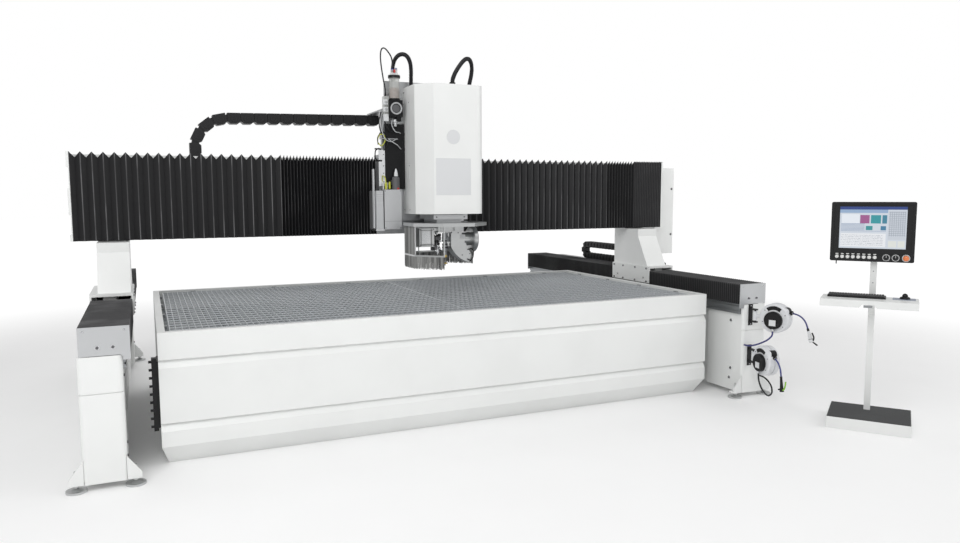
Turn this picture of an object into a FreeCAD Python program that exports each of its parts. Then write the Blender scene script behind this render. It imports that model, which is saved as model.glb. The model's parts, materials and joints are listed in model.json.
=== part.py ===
import FreeCAD, Part
import os
from math import cos, sin, radians, pi

V = FreeCAD.Vector
os.makedirs("parts", exist_ok=True)

# Tank, origin on the floor at the middle of its footprint, X along it, Y away from the operator
tank_length = 4500.0
tank_width = 2407.0
tank_height = 905.0
wall = 50.0
plinth_height = 139.0
plinth_inset_front = 110.0
plinth_inset_side = 40.0
floor_plate = 10.0
groove_depth = 26.0
groove_height = 57.0
groove_tops = (725.0, 299.0)

# Grate that carries the workpiece
grate_gap = 30.0
grate_drop = 15.0
grate_height = 35.0
grate_bar = 8.0
grate_cells_x = 12
grate_cells_y = 8
beam_count = 5
beam_depth = 110.0
beam_thickness = 20.0

# Side bases that carry the long rails
base_gap = 205.0
base_inner = tank_length / 2 + base_gap
base_width = 240.0
base_center = base_inner + base_width / 2
front_overhang = 246.5
back_overhang = 1306.5
base_front = -tank_width / 2 - front_overhang
base_back = tank_width / 2 + back_overhang
base_bottom = 45.0
base_top = 800.0
leg_depth = 450.0
leg_recess = 35.0
leg_radius = 22.0
cover_sheet = 6.0
cover_split = 598.0
cover_gap = 6.0
foot_spread = 165.0
foot_radius = 60.0
foot_inset = 30.0
gusset_half = 28.0

# Long rails, their bellows and end plates
bellows_width = 285.0
bellows_overlap = 52.5
bellows_inner = base_inner - bellows_overlap
bellows_center = bellows_inner + bellows_width / 2
bellows_bottom = 834.0
bellows_top = 1010.0
side_bellows_sheet = 5.0
side_fold = 36.0
side_fold_depth = 20.0
end_plate = 8.0
rail_inset = 105.0
rail_center = base_inner + rail_inset
rail_beam_width = 150.0
rail_skirt_height = 68.0
rack_drop = 58.0
rack_thickness = 22.0
tab_width = 43.0
tab_drop = 34.0
rail_beam_height = 110.0
rail_width = 34.0
rail_height = 40.0

# Gantry feet, columns and bridge
gantry_front = -165.0
gantry_back = 490.0
shoe_bottom = 885.0
shoe_top = 1055.0
shoe_plate = 20.0
shoe_width = 300.0
shoe_cheek = 14.0
cheek_hole_inset = 98.0
cheek_hole_rise = 47.0
cheek_hole_radius = 13.0
column_width = 230.0
column_front_bottom = -115.0
column_front_top = 51.0
column_fold = 1355.0
column_top = 1430.0
bridge_bottom = 1446.0
bridge_top = 2120.0
bridge_front = 288.0
bridge_depth = 200.0
bridge_reach = 225.0
bridge_half = base_center + bridge_reach
bridge_skin_front = 206.0
bridge_skin_back = 258.0
bridge_skin_bottom = 1438.0
bridge_skin_top = 2139.0
end_frame_reach = 28.0
skin_half = bridge_half + end_frame_reach
end_frame_sheet = 20.0
end_frame_step = 12.0
end_frame_notches = ((120.0, 285.0), (495.0, 651.0))
bridge_bellows_sheet = 6.0
bridge_fold_drop = 45.0
bridge_fold_depth = 24.0
wide_folds = 20
narrow_folds = 30
narrow_fold = 28.0
open_folds = 24
closed_folds = 10
closed_fold = 34.0
packed_folds = 16
packed_fold = 21.75
packed_drop = 10.0
cross_rail = 28.0
cross_rail_width = 36.0
cross_rail_heights = (1590.0, 1990.0)
running_gap = 0.4

cabinet_gap = 4.0
cabinet_width = 253.0
cabinet_bottom = 1137.0
cabinet_top = 2077.0

# Cable chains, each a fixed loop of links
cross_chain_x = -1597.0
cross_chain_half = 55.0
cross_chain_gap = 12.0
cross_chain_y = bridge_front + bridge_depth + cross_chain_gap + cross_chain_half
cross_chain_radius = 318.0
cross_chain_height = 94.0
cross_chain_top_run = 1367.0
cross_chain_bottom_run = 1700.0
cross_chain_rise = 30.0
cross_chain_pitch = 113.9
cross_tray_top = 1873.0
chain_brackets = 4
chain_core_inset = 9.0
chain_link_gap = 7.0
chain_arm_clearance = 6.0
chain_arm_sheet = 12.0
long_chain_offset = 81.0
long_chain_x = base_inner + base_width + long_chain_offset
long_chain_y = 1590.0
long_chain_radius = 105.0
long_chain_height = 71.0
long_chain_half = 38.0
long_chain_top_run = 1010.0
long_chain_bottom_run = 1500.0
long_chain_pitch = 67.0
long_tray_top = 1000.0
tray_sheet = 6.0

# Carriage on the bridge and its white cover
saddle_left = -360.0
saddle_right = 500.0
saddle_front = 110.0
saddle_bottom = 1562.0
saddle_top = 2800.0
cover_left = -128.0
cover_right = 475.0
cover_front = -343.0
cover_bottom = 1625.0
cover_top = 2740.0
cover_chamfer = 128.0
cover_corner = 78.0
cover_wall = 6.0

cover_slot_y = -65.0
cover_slot_width = 14.0
cover_slot_bottom = 1925.0
cover_slot_height = 149.0
equipment_inset = 10.0
equipment_front = -20.0
equipment_drop = 72.0
silver_width = 158.0
silver_height = 350.0
louvre_width = 65.0
louvre_count = 3
louvre_pitch = 24.0

hopper_x = -228.0
hopper_y = 35.0
hopper_radius = 46.0
hopper_bottom = 2630.0
hopper_height = 190.0
fitting_offset = 18.0
fitting_height = 50.0
side_valve_width = 44.0
side_valve_top = 2655.0
conduit_diameter = 38.0
thin_hose_diameter = 12.0

# Lifting ram, splash plate and cutting head
head_x = 160.0
head_y = -170.0
ram_width = 180.0
ram_front = -250.0
ram_back = 60.0
ram_top = 2560.0
plate_top = 1550.0
plate_thickness = 30.0
collar_width = 312.0
collar_bottom = 1579.0
collar_top = 1619.0
plate_apothem = 345.0
ring_apothem = 335.0
ring_wall = 10.0
frame_bottom = 1262.0
brush_bottom = 1150.0
tilt_height = 1395.0
nozzle_tip = 1160.0

# Sides of the splash guard counted from the right: back right, back, back left, left, front left
guard_sides = (0, 1, 2, 3, 4)
tall_side = 3
curtain_sheet = 6.0
arm_thickness = 130.0
pivot_radius = 16.0
pivot_reach = 110.0
motor_offset = 240.0
motor_length = 45.0
motor_radius = 118.0
servo_depth = 124.0
servo_bottom = 1338.0
servo_height = 162.0

# Hose reels on the right front leg
reel_radius = 127.0
reel_width = 105.0
reel_arm = 180.0
hub_radius = 75.0
hub_height = 30.0
hub_drop = 15.0
nose_radius = 34.0
nose_inset = 22.0
reel_pivot_inset = 65.0
reel_pivot_front = 67.0
reel_pivot_x = base_inner + reel_pivot_inset
reel_pivot_y = base_front - reel_pivot_front
upper_reel_z = 738.0
lower_reel_z = 381.0
upper_reel_turn = 24.0
lower_reel_turn = -11.0
reel_hose_diameter = 13.0
feed_hose_diameter = 14.0
outlet_length = 58.0
upper_outlet_angle = 36.0
upper_outlet_dip = 10.0
lower_outlet_angle = 40.0
lower_outlet_dip = 30.0
inlet_drop = 90.0

# Operator console
console_aside = 344.0
console_ahead = 1007.0
console_x = base_inner + console_aside
console_y = base_front - console_ahead
console_turn = -53.35
console_base_width = 578.0
console_base_depth = 476.0
console_base_height = 87.0
post_width = 46.0
post_depth = 50.0
post_offset = -21.0
post_front = 89.0
monitor_width = 576.0
monitor_offset = -40.0
monitor_front = 20.0
monitor_bottom = 1269.0
monitor_top = 1726.0
monitor_depth = 62.0
screen_frame = 22.0
screen_recess = 6.0
button_row = 58.0
tray_width = 660.0
tray_offset = -37.0
tray_depth = 305.0
tray_top = 994.0
tray_thickness = 55.0
tray_wall = 4.0


def box(x0, x1, y0, y1, z0, z1):
    return Part.makeBox(x1 - x0, y1 - y0, z1 - z0, V(x0, y0, z0))


def rod(start, end, radius):
    line = end - start
    return Part.makeCylinder(radius, line.Length, start, line)


def prism(points, push):
    loop = Part.makePolygon(points + [points[0]])
    return Part.Face(loop).extrude(push)


def joined(shapes):
    body = shapes[0].multiFuse(shapes[1:]) if len(shapes) > 1 else shapes[0]
    return body.removeSplitter()


def mirrored(shape):
    return shape.mirror(V(0, 0, 0), V(1, 0, 0))


def upright_edges(shape):
    return [e for e in shape.Edges
            if abs(e.tangentAt(e.FirstParameter).z) > 0.999]


def tank_long_wall():
    # Front wall: a thick panel with two V grooves, flat above and sloping out below
    y = -tank_width / 2
    outline = [V(-tank_length / 2, y, tank_height)]
    for top in groove_tops:
        outline.append(V(-tank_length / 2, y, top))
        outline.append(V(-tank_length / 2, y + groove_depth, top - groove_height * 0.2))
        outline.append(V(-tank_length / 2, y, top - groove_height))
    outline.append(V(-tank_length / 2, y, plinth_height))
    outline.append(V(-tank_length / 2, y + wall, plinth_height))
    outline.append(V(-tank_length / 2, y + wall, tank_height))
    return prism(outline, V(tank_length, 0, 0))


def tank_side_wall():
    y = tank_width / 2 - wall
    return box(tank_length / 2 - wall, tank_length / 2, -y, y, plinth_height, tank_height)


def tank_plinth():
    def outline(x, y, z):
        return Part.makePolygon([V(-x, -y, z), V(x, -y, z), V(x, y, z), V(-x, y, z), V(-x, -y, z)])
    top = outline(tank_length / 2, tank_width / 2, plinth_height)
    bottom = outline(tank_length / 2 - plinth_inset_side, tank_width / 2 - plinth_inset_front, 0)
    return Part.makeLoft([bottom, top], True, True)


def tank_floor():
    x = tank_length / 2 - wall
    y = tank_width / 2 - wall
    return box(-x, x, -y, y, plinth_height, plinth_height + floor_plate)


def grate_panel(x0, x1, y0, y1):
    top = tank_height - grate_drop
    panel = box(x0, x1, y0, y1, top - grate_height, top)
    step_x = (x1 - x0 - grate_bar) / grate_cells_x
    step_y = (y1 - y0 - grate_bar) / grate_cells_y
    holes = []
    for i in range(grate_cells_x):
        for j in range(grate_cells_y):
            left = x0 + grate_bar + i * step_x
            front = y0 + grate_bar + j * step_y
            holes.append(box(left, left + step_x - grate_bar, front, front + step_y - grate_bar,
                             top - grate_height - 1, top + 1))
    return panel.cut(Part.makeCompound(holes))


def grate():
    x = tank_length / 2 - wall - grate_gap
    y = tank_width / 2 - wall - grate_gap
    seam = 1.5
    return [grate_panel(-x, -seam, -y, y), grate_panel(seam, x, -y, y)]


def grate_beams():
    # Upright flats from wall to wall under the grate
    y = tank_width / 2 - wall
    top = tank_height - grate_drop - grate_height
    span = tank_length - 2 * wall - 2 * grate_gap
    beams = []
    for i in range(beam_count):
        x = -span / 2 + span * (i + 0.5) / beam_count
        beams.append(box(x - beam_thickness / 2, x + beam_thickness / 2, -y, y, top - beam_depth, top))
    return beams


def jet_manifold():
    # Dark pipe strip with a row of nipples on the left side of the tank
    x = -tank_length / 2
    front = -tank_width / 2 + 90
    back = front + 60
    pieces = [box(x - 12, x, front, back + 140, 250, 700)]
    pieces.append(box(x - 42, x - 12, front, back, 230, 720))
    for i in range(9):
        z = 255 + i * 55
        pieces.append(rod(V(x - 60, front + 30, z), V(x - 42, front + 30, z), 9))
    return joined(pieces)


def side_base():
    # Leg, recessed middle and rear leg in one closed box, rounded at its upright corners
    x0 = base_center - base_width / 2
    x1 = base_center + base_width / 2
    body = box(x0, x1, base_front, base_back, base_bottom, base_top)
    body = body.makeFillet(leg_radius, upright_edges(body))
    recess = box(x0 - 1, x0 + leg_recess, base_front + leg_depth, base_back - leg_depth,
                 base_bottom - 1, base_top - 60)
    return body.cut(recess).cut(recess.translated(V(base_width - leg_recess + 1, 0, 0)))


def leg_covers():
    # Two sheet covers in front of the leg, one above the other
    x0 = base_center - base_width / 2 - cover_sheet
    x1 = base_center + base_width / 2 + cover_sheet
    y0 = base_front - cover_sheet
    y1 = base_front + leg_radius + 6
    spans = [(cover_split + cover_gap, bellows_bottom - 4), (base_bottom, cover_split)]
    covers = []
    for low, high in spans:
        shell = box(x0, x1, y0, y1, low, high)
        front_edges = [e for e in upright_edges(shell) if abs(e.Vertexes[0].Point.y - y0) < 1]
        shell = shell.makeFillet(leg_radius + cover_sheet, front_edges)
        core = box(x0 + cover_sheet, x1 - cover_sheet, base_front, y1 + 1, low - 1, high + 1)
        core_edges = [e for e in upright_edges(core) if abs(e.Vertexes[0].Point.y - base_front) < 1]
        core = core.makeFillet(leg_radius, core_edges)
        notch = box(x0 - 1, x1 + 1, base_front + 1, y1 + 1, base_bottom - 1, base_bottom + 160)
        covers.append(shell.cut(core).cut(notch))
    return covers


def levelling_foot(x, y):
    disc = Part.makeCylinder(foot_radius, 14, V(x, y, 0))
    cone = Part.makeCone(foot_radius * 0.7, 16, 12, V(x, y, 14))
    stud = Part.makeCylinder(10, 110, V(x, y, 20))
    nut = Part.makeCylinder(17, 12, V(x, y, base_bottom - 12.3))
    return joined([disc, cone, stud, nut])


def foot_gusset(side, y):
    # Bracket plate that stands out of the leg above each levelling foot
    root_x = base_center + side * base_width / 2
    tip = base_center + side * (foot_spread + 38)
    g = gusset_half
    shelf = box(min(root_x, tip), max(root_x, tip), y - g, y + g, base_bottom, base_bottom + 14)
    rib = prism([V(root_x, y - g, base_bottom + 14), V(tip, y - g, base_bottom + 14),
                 V(tip, y - g, base_bottom + 40), V(root_x, y - g, base_bottom + 150)], V(0, 10, 0))
    x = base_center + side * foot_spread
    hole = rod(V(x, y, 0), V(x, y, base_bottom + 170), 10.5)
    return joined([shelf, rib]).cut(hole)


def foot_places():
    for y in (base_front + foot_inset, base_back - foot_inset):
        for side in (-1, 1):
            yield side, y


def levelling_feet():
    feet = []
    for side, y in foot_places():
        feet.append(levelling_foot(base_center + side * foot_spread, y))
    return feet


def foot_gussets():
    return [foot_gusset(side, y) for side, y in foot_places()]


def side_rail():
    # Stepped beam on the base, a guide rail on top and a rack band under its inner edge
    half = rail_beam_width / 2
    y0 = base_front + 20
    y1 = base_front + leg_radius + 8
    skirt = box(base_inner - 12, rail_center + half, y1, base_back, base_top, base_top + rail_skirt_height)
    beam = box(rail_center - half, rail_center + half, y0, base_back, base_top,
               base_top + rail_beam_height)
    rail_low = base_top + rail_beam_height
    rail = box(rail_center - rail_width / 2, rail_center + rail_width / 2, y0, base_back, rail_low,
               rail_low + rail_height)
    rack = box(base_inner - rack_thickness, base_inner, y1, base_back, base_top - rack_drop, base_top)
    lip = box(base_inner - rack_thickness, base_inner, y1, base_back, base_top, base_top + 10)
    body = joined([skirt, beam, rail, rack, lip])
    groove = box(rail_center - rail_width / 2 - 1, rail_center - rail_width / 2 + 8,
                 base_front, base_back + 1, rail_low + 12, rail_low + 22)
    other = groove.translated(V(rail_width - 6, 0, 0))
    slot = box(base_inner - rack_thickness - 1, base_inner - rack_thickness + 9, base_front, base_back + 1,
               base_top - 36, base_top - 22)
    return body.cut(groove).cut(other).cut(slot)


def end_plates():
    # Sheet that closes the bellows, with a tab hanging down past the leg's inner side
    plates = []
    for y in (base_front - end_plate, base_back):
        x0 = bellows_inner
        x1 = bellows_inner + bellows_width
        outline = [V(x0, y, bellows_top), V(x1, y, bellows_top), V(x1, y, bellows_bottom),
                   V(x0 + tab_width + 10, y, bellows_bottom), V(x0 + tab_width, y, bellows_bottom - 12),
                   V(x0 + tab_width, y, bellows_bottom - tab_drop), V(x0, y, bellows_bottom - tab_drop)]
        plates.append(prism(outline, V(0, end_plate, 0)))
    return plates


def fold_stations(start, spans):
    # Places of the creases, outer and inner in turn: each span holds a number of folds of one pitch
    stations = []
    at = start
    for count, pitch, drop in spans:
        for i in range(count):
            stations.append((at, drop, True))
            stations.append((at + pitch / 2, drop, False))
            at += pitch
    stations.append((at, spans[-1][2], True))
    return stations


def folded_skin(stations, section):
    # Folded cloth: one ruled loft through the outer and inner creases
    return Part.makeLoft([section(at, 0 if outer else drop) for at, drop, outer in stations], True, True)


def side_section(y, inset):
    # Roof and two flanks over the rail, drawn in by the inset
    s = side_bellows_sheet
    x0 = bellows_inner + inset
    x1 = bellows_inner + bellows_width - inset
    z0 = bellows_bottom
    z1 = bellows_top - inset
    return Part.makePolygon([V(x0, y, z0), V(x0, y, z1), V(x1, y, z1), V(x1, y, z0), V(x1 - s, y, z0),
                             V(x1 - s, y, z1 - s), V(x0 + s, y, z1 - s), V(x0 + s, y, z0), V(x0, y, z0)])


def side_bellows(y0, y1):
    count = max(2, round((y1 - y0) / side_fold))
    return folded_skin(fold_stations(y0, [(count, (y1 - y0) / count, side_fold_depth)]), side_section)


def gantry_shoe():
    # Saddle over the rail: top plate, cheeks and the blocks that ride the guide rail
    x0 = bellows_center - shoe_width / 2
    x1 = bellows_center + shoe_width / 2
    top = box(x0, x1, gantry_front, gantry_back, shoe_top - shoe_plate, shoe_top)
    cheek = box(x0, x0 + shoe_cheek, gantry_front, gantry_back, shoe_bottom, shoe_top - shoe_plate)
    for y in (gantry_front + cheek_hole_inset, gantry_back - cheek_hole_inset):
        z = shoe_bottom + cheek_hole_rise
        cheek = cheek.cut(rod(V(x0 - 1, y, z), V(x0 + shoe_cheek + 1, y, z), cheek_hole_radius))
    outer_cheek = cheek.translated(V(shoe_width - shoe_cheek, 0, 0))
    rail_top = base_top + rail_beam_height + rail_height
    pieces = [top, cheek, outer_cheek]
    for y in (gantry_front + 60, gantry_back - 200):
        pieces.append(box(rail_center - 45, rail_center + 45, y, y + 140,
                          rail_top + running_gap, shoe_top - shoe_plate))
    return joined(pieces)


def gantry_column():
    # Housing between shoe and bridge: the front leans back up to a fold, then stands upright
    x0 = bellows_center - column_width / 2 - 20
    back = gantry_back - 10
    outline = [V(x0, column_front_bottom, shoe_top), V(x0, back, shoe_top),
               V(x0, back, column_top), V(x0, column_front_top, column_top),
               V(x0, column_front_top, column_fold)]
    body = prism(outline, V(column_width, 0, 0))
    pad = box(x0, x0 + column_width, bridge_front + 4, back, column_top, bridge_bottom)
    return joined([body, pad])


def bridge_beam():
    beam = box(-bridge_half, bridge_half, bridge_front, bridge_front + bridge_depth,
               bridge_bottom, bridge_top)
    long_edges = [e for e in beam.Edges if abs(e.tangentAt(e.FirstParameter).x) > 0.999
                  and e.Vertexes[0].Point.y > bridge_front + 1]
    return beam.makeChamfer(30, long_edges)


def cross_rails():
    rails = []
    for z in cross_rail_heights:
        rails.append(box(-bridge_half + 60, bridge_half - 60, bridge_front - cross_rail, bridge_front,
                         z - cross_rail_width / 2, z + cross_rail_width / 2))
    return rails


def bridge_end_frames():
    # Frame sheet at each end of the bellows, its outer edge stepped where the folds hook in
    frames = []
    for side in (-1, 1):
        inner = side * (skin_half - end_frame_sheet)
        outer = side * skin_half
        plate = box(min(inner, outer), max(inner, outer), bridge_skin_front - 4, bridge_front + 60,
                    bridge_skin_bottom, bridge_skin_top)
        step = side * (skin_half - end_frame_step)
        for top, low in end_frame_notches:
            plate = plate.cut(box(min(step, outer + side), max(step, outer + side), bridge_skin_front - 5,
                                  bridge_front + 61, bridge_skin_top - low, bridge_skin_top - top))
        x_in = side * bridge_half
        arm = box(min(inner, x_in), max(inner, x_in), bridge_front, bridge_front + 60,
                  bridge_bottom + 60, bridge_top - 60)
        frames.append(joined([plate, arm]))
    return frames


def bridge_section(x, inset):
    # Front, roof and underside before the beam; the roof drops further than the front draws in
    s = bridge_bellows_sheet
    y0 = bridge_skin_front + inset * bridge_fold_depth / bridge_fold_drop
    y1 = bridge_skin_back
    z0 = bridge_skin_bottom
    z1 = bridge_skin_top - inset
    return Part.makePolygon([V(x, y1, z0), V(x, y0, z0), V(x, y0, z1), V(x, y1, z1), V(x, y1, z1 - s),
                             V(x, y0 + s, z1 - s), V(x, y0 + s, z0 + s), V(x, y1, z0 + s), V(x, y1, z0)])


def bridge_bellows(x0, spans):
    return folded_skin(fold_stations(x0, spans), bridge_section)


def left_bridge_bellows():
    # Wide folds at the left end, narrow ones beside the carriage
    start = -skin_half + end_frame_sheet
    wide = (saddle_left - narrow_folds * narrow_fold - start) / wide_folds
    return bridge_bellows(start, [(wide_folds, wide, bridge_fold_drop),
                                  (narrow_folds, narrow_fold, bridge_fold_drop)])


def right_bridge_bellows():
    # Open folds beside the carriage, then closer ones, pressed into a pack at the right end
    end = skin_half - end_frame_sheet
    closed = closed_folds * closed_fold + packed_folds * packed_fold
    opened = (end - closed - saddle_right) / open_folds
    return bridge_bellows(saddle_right, [(open_folds, opened, bridge_fold_drop),
                                         (closed_folds, closed_fold, bridge_fold_drop),
                                         (packed_folds, packed_fold, packed_drop)])


def cabinet():
    x0 = skin_half + cabinet_gap
    body = box(x0, x0 + cabinet_width, bridge_front + 52, bridge_front + 312, cabinet_bottom, cabinet_top)
    body = body.makeFillet(8, upright_edges(body))
    mount = box(skin_half, x0, bridge_front + 12, bridge_front + bridge_depth - 10,
                bridge_bottom + 80, bridge_top - 80)
    return joined([body, mount])


def chain_link(center, along, outward, push, length, height):
    # One link seen from the side, its inner corners cut off so that the chain can bend
    h = height / 2
    a = length / 2
    c = length * 0.2
    corners = [(-a, h), (a, h), (a, -h + c), (a - c, -h), (c - a, -h), (-a, -h + c)]
    return prism([center + along * u + outward * w for u, w in corners], push)


def chain(center, outer, height, half_depth, straight_top, straight_bottom, rise, pitch, axis):
    # Links in a row along the top run, round the half turn and back along the bottom run,
    # held on a core band; the top run climbs by the rise towards its end
    sign = 1 if axis == "x" else -1
    run = V(sign, 0, 0) if axis == "x" else V(0, sign, 0)
    across = V(0, 1, 0) if axis == "x" else V(1, 0, 0)
    up = V(0, 0, 1)
    core = height * 0.32
    middle = outer - height / 2
    climb = (run * straight_top + up * rise).normalize()
    lift = (up - climb * climb.z).normalize()
    half = half_depth - chain_core_inset

    def spot(u, w):
        return center - across * half + run * u + up * w

    def edge(a, b):
        return Part.LineSegment(a, b).toShape()

    r0 = middle - core
    r1 = middle + core
    top_in = spot(0, r0) + climb * straight_top
    top_out = spot(0, r1) + climb * straight_top
    edges = [edge(top_out, spot(0, r1)),
             Part.Arc(spot(0, r1), spot(-r1, 0), spot(0, -r1)).toShape(),
             edge(spot(0, -r1), spot(straight_bottom, -r1)),
             edge(spot(straight_bottom, -r1), spot(straight_bottom, -r0)),
             edge(spot(straight_bottom, -r0), spot(0, -r0)),
             Part.Arc(spot(0, -r0), spot(-r0, 0), spot(0, r0)).toShape(),
             edge(spot(0, r0), top_in), edge(top_in, top_out)]
    band = Part.Face(Part.Wire(edges)).extrude(across * (2 * half))
    push = across * (2 * half_depth)
    side = center - across * half_depth
    length = pitch - chain_link_gap
    links = [band]
    for i in range(int(straight_top / pitch)):
        links.append(chain_link(side + up * middle + climb * (pitch * (i + 0.5)), climb, lift, push,
                                length, height))
    turns = max(3, round(pi * middle / pitch))
    inward = (outer ** 2 + (length / 2) ** 2) ** 0.5 - outer
    for i in range(turns):
        a = pi * (i + 0.5) / turns
        outward = up * cos(a) - run * sin(a)
        along = up * sin(a) + run * cos(a)
        links.append(chain_link(side + outward * (middle - inward), along, outward, push, length, height))
    for i in range(int(straight_bottom / pitch)):
        links.append(chain_link(side - up * middle + run * (pitch * (i + 0.5)), run, up * -1, push,
                                length, height))
    return joined(links)


def cross_chain():
    z = cross_tray_top + cross_chain_radius
    return chain(V(cross_chain_x, cross_chain_y, z), cross_chain_radius, cross_chain_height,
                 cross_chain_half, cross_chain_top_run, cross_chain_bottom_run, cross_chain_rise,
                 cross_chain_pitch, "x")


def cross_chain_tray():
    # Shelf on the back of the beam, on three-cornered brackets
    x0 = cross_chain_x - 20
    x1 = cross_chain_x + cross_chain_bottom_run + 20
    back = bridge_front + bridge_depth
    y1 = cross_chain_y + cross_chain_half + 10
    z = cross_tray_top - tray_sheet
    pieces = [box(x0, x1, back, y1, z, cross_tray_top)]
    for i in range(chain_brackets):
        x = x0 + (x1 - x0 - 8) * i / (chain_brackets - 1)
        pieces.append(prism([V(x, back, z), V(x, y1, z), V(x, back, z - 110)], V(8, 0, 0)))
    return joined(pieces)


def long_chain():
    z = long_tray_top + long_chain_radius
    return chain(V(long_chain_x, long_chain_y, z), long_chain_radius, long_chain_height, long_chain_half,
                 long_chain_top_run, long_chain_bottom_run, 0, long_chain_pitch, "y")


def long_chain_tray():
    # Tray beside the rail on brackets that reach round the bellows
    x0 = long_chain_x - long_chain_half - 7
    x1 = long_chain_x + long_chain_half + 7
    outer = base_inner + base_width
    front = long_chain_y - long_chain_bottom_run - 30
    back = long_chain_y + long_chain_radius + 605
    pieces = [box(x0, x1, front, back, long_tray_top - tray_sheet, long_tray_top)]
    for i in range(chain_brackets):
        y = front + 90 + (back - front - 180) * i / (chain_brackets - 1)
        pieces.append(box(outer, x0 + 10, y, y + 40, base_top - 60, base_top - 20))
        pieces.append(box(x0, x0 + 10, y, y + 40, base_top - 60, long_tray_top))
    return joined(pieces)


def chain_arm_low():
    return cross_tray_top + 2 * cross_chain_radius + cross_chain_rise + chain_arm_clearance


def saddle():
    # Plate that fills the gap between the bellows, blocks on the bridge rails, rails for the ram
    # and the arm that reaches back over the cable chain
    back = bridge_skin_back - 2
    plate = box(saddle_left, saddle_right, saddle_front, back, saddle_bottom, bridge_skin_top + 12)
    apron = box(saddle_left, saddle_right, bridge_skin_front, back, bridge_skin_bottom, saddle_bottom)
    tall = box(cover_left + 60, cover_right - 60, saddle_front, saddle_front + 40,
               bridge_skin_top, saddle_top)
    pieces = [plate, apron, tall]
    for z in cross_rail_heights:
        for x in (saddle_left + 40, saddle_right - 200):
            pieces.append(box(x, x + 160, back, bridge_front - cross_rail - running_gap, z - 45, z + 45))
    for x in (head_x - 60, head_x + 60):
        pieces.append(box(x - 12, x + 12, ram_back + running_gap, saddle_front,
                          saddle_bottom + 60, cover_top - 20))
    z = chain_arm_low()
    y = saddle_front + 10
    pieces.append(box(saddle_left + 40, cover_left + 80, y, cross_chain_y + cross_chain_half,
                      z, z + chain_arm_sheet))
    for x in (saddle_left + 40, cover_left + 60):
        pieces.append(box(x, x + 20, y, y + 50, bridge_skin_top + 12, z))
    return joined(pieces)


def cover_outline(inset, z):
    left = cover_left + inset
    right = cover_right - inset
    front = cover_front + inset
    back = saddle_front
    r = cover_corner - inset
    corner = V(right - r, front + r, z)
    p = [V(left, back, z), V(left, front + cover_chamfer, z), V(left + cover_chamfer, front, z),
         V(right - r, front, z), corner + V(r * sin(pi / 4), -r * cos(pi / 4), 0), V(right, front + r, z),
         V(right, back, z)]
    edges = [Part.LineSegment(p[0], p[1]).toShape(), Part.LineSegment(p[1], p[2]).toShape(),
             Part.LineSegment(p[2], p[3]).toShape(), Part.Arc(p[3], p[4], p[5]).toShape(),
             Part.LineSegment(p[5], p[6]).toShape(), Part.LineSegment(p[6], p[0]).toShape()]
    return Part.Face(Part.Wire(edges))


def head_cover():
    # Folded cover with one chamfered and one rounded corner, open below, a slot in its left side
    outer = cover_outline(0, cover_bottom).extrude(V(0, 0, cover_top - cover_bottom))
    inner = cover_outline(cover_wall, cover_bottom - 1).extrude(
        V(0, 0, cover_top - cover_wall - cover_bottom + 1))
    slot = box(cover_left - 1, cover_left + cover_wall + 1, cover_slot_y - cover_slot_width / 2,
               cover_slot_y + cover_slot_width / 2, cover_slot_bottom, cover_slot_bottom + cover_slot_height)
    return outer.cut(inner).cut(slot)


def side_equipment():
    # Switch box, louvred box, dark panel, screwed strip and regulator on the carriage's left side
    x0 = saddle_left + equipment_inset
    x1 = x0 + silver_width
    y0 = equipment_front
    low = saddle_bottom - equipment_drop
    top = low + silver_height
    silver = joined([box(x0, x1, y0, saddle_front, saddle_bottom, top),
                     box(x0, x1, y0, saddle_front - 5, low, saddle_bottom)])
    dark = box(saddle_left - louvre_width, saddle_left, y0, bridge_skin_front - 6, low, top - 10)
    for i in range(louvre_count):
        z = top - 50 - i * louvre_pitch
        dark = dark.cut(box(saddle_left - louvre_width - 1, saddle_left + 1, y0 - 1, y0 + 8, z, z + 10))
    panel_low = top + 90
    panel_top = bridge_skin_top + 9
    panel = box(x0 + 20, x1 + 2, saddle_front - 50, saddle_front, panel_low, panel_top)
    strip = box(x0 - 8, x0 + 16, saddle_front - 50, saddle_front, panel_low - 70, panel_top)
    x = x1 - 38
    bowl = Part.makeCylinder(28, panel_low - top - 20, V(x, saddle_front - 50, top - 10))
    head = box(x - 32, x + 32, saddle_front - 80, saddle_front, top + 42, panel_low - 4)
    return [silver, dark, panel, strip, joined([bowl, head])]


def abrasive_hopper():
    # Clear cylinder with its cap and fittings, over the metering valve with its round window
    x, y = hopper_x, hopper_y
    z = hopper_bottom
    top = z + hopper_height
    tube = Part.makeCylinder(hopper_radius, hopper_height, V(x, y, z))
    cap = Part.makeCylinder(hopper_radius + 6, 22, V(x, y, top))
    left_fitting = Part.makeCylinder(12, fitting_height, V(x - fitting_offset, y, top + 20))
    right_fitting = Part.makeCylinder(12, fitting_height + 14, V(x + fitting_offset, y, top + 20))
    valve = box(x - 60, x + 60, y - 45, y + 35, z - 150, z - 8)
    valve = valve.makeFillet(14, [e for e in valve.Edges if abs(e.tangentAt(e.FirstParameter).y) > 0.999])
    window = rod(V(x, y - 46, z - 80), V(x, y - 33, z - 80), 44)
    ring = rod(V(x, y - 53, z - 80), V(x, y - 33, z - 80), 52).cut(
        rod(V(x, y - 54, z - 80), V(x, y - 32, z - 80), 44))
    neck = Part.makeCylinder(26, 10, V(x, y, z - 9))
    back = box(x - 35, x + 35, y + 20, saddle_front, z - 120, z - 60)
    clamp = box(x - 35, x + 35, y + hopper_radius - 10, saddle_front, z + 60, z + 90)
    side_valve = box(x - 60 - side_valve_width, x - 58, y - 25, y + 30, z - 130, side_valve_top)
    return joined([tube, cap, left_fitting, right_fitting, valve, ring, neck, back, clamp,
                   side_valve]).cut(window)


def hopper_stand():
    return box(hopper_x - 70, cover_left + 62, saddle_front, saddle_front + 20,
               bridge_skin_top + 10, hopper_bottom + hopper_height - 20)


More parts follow.
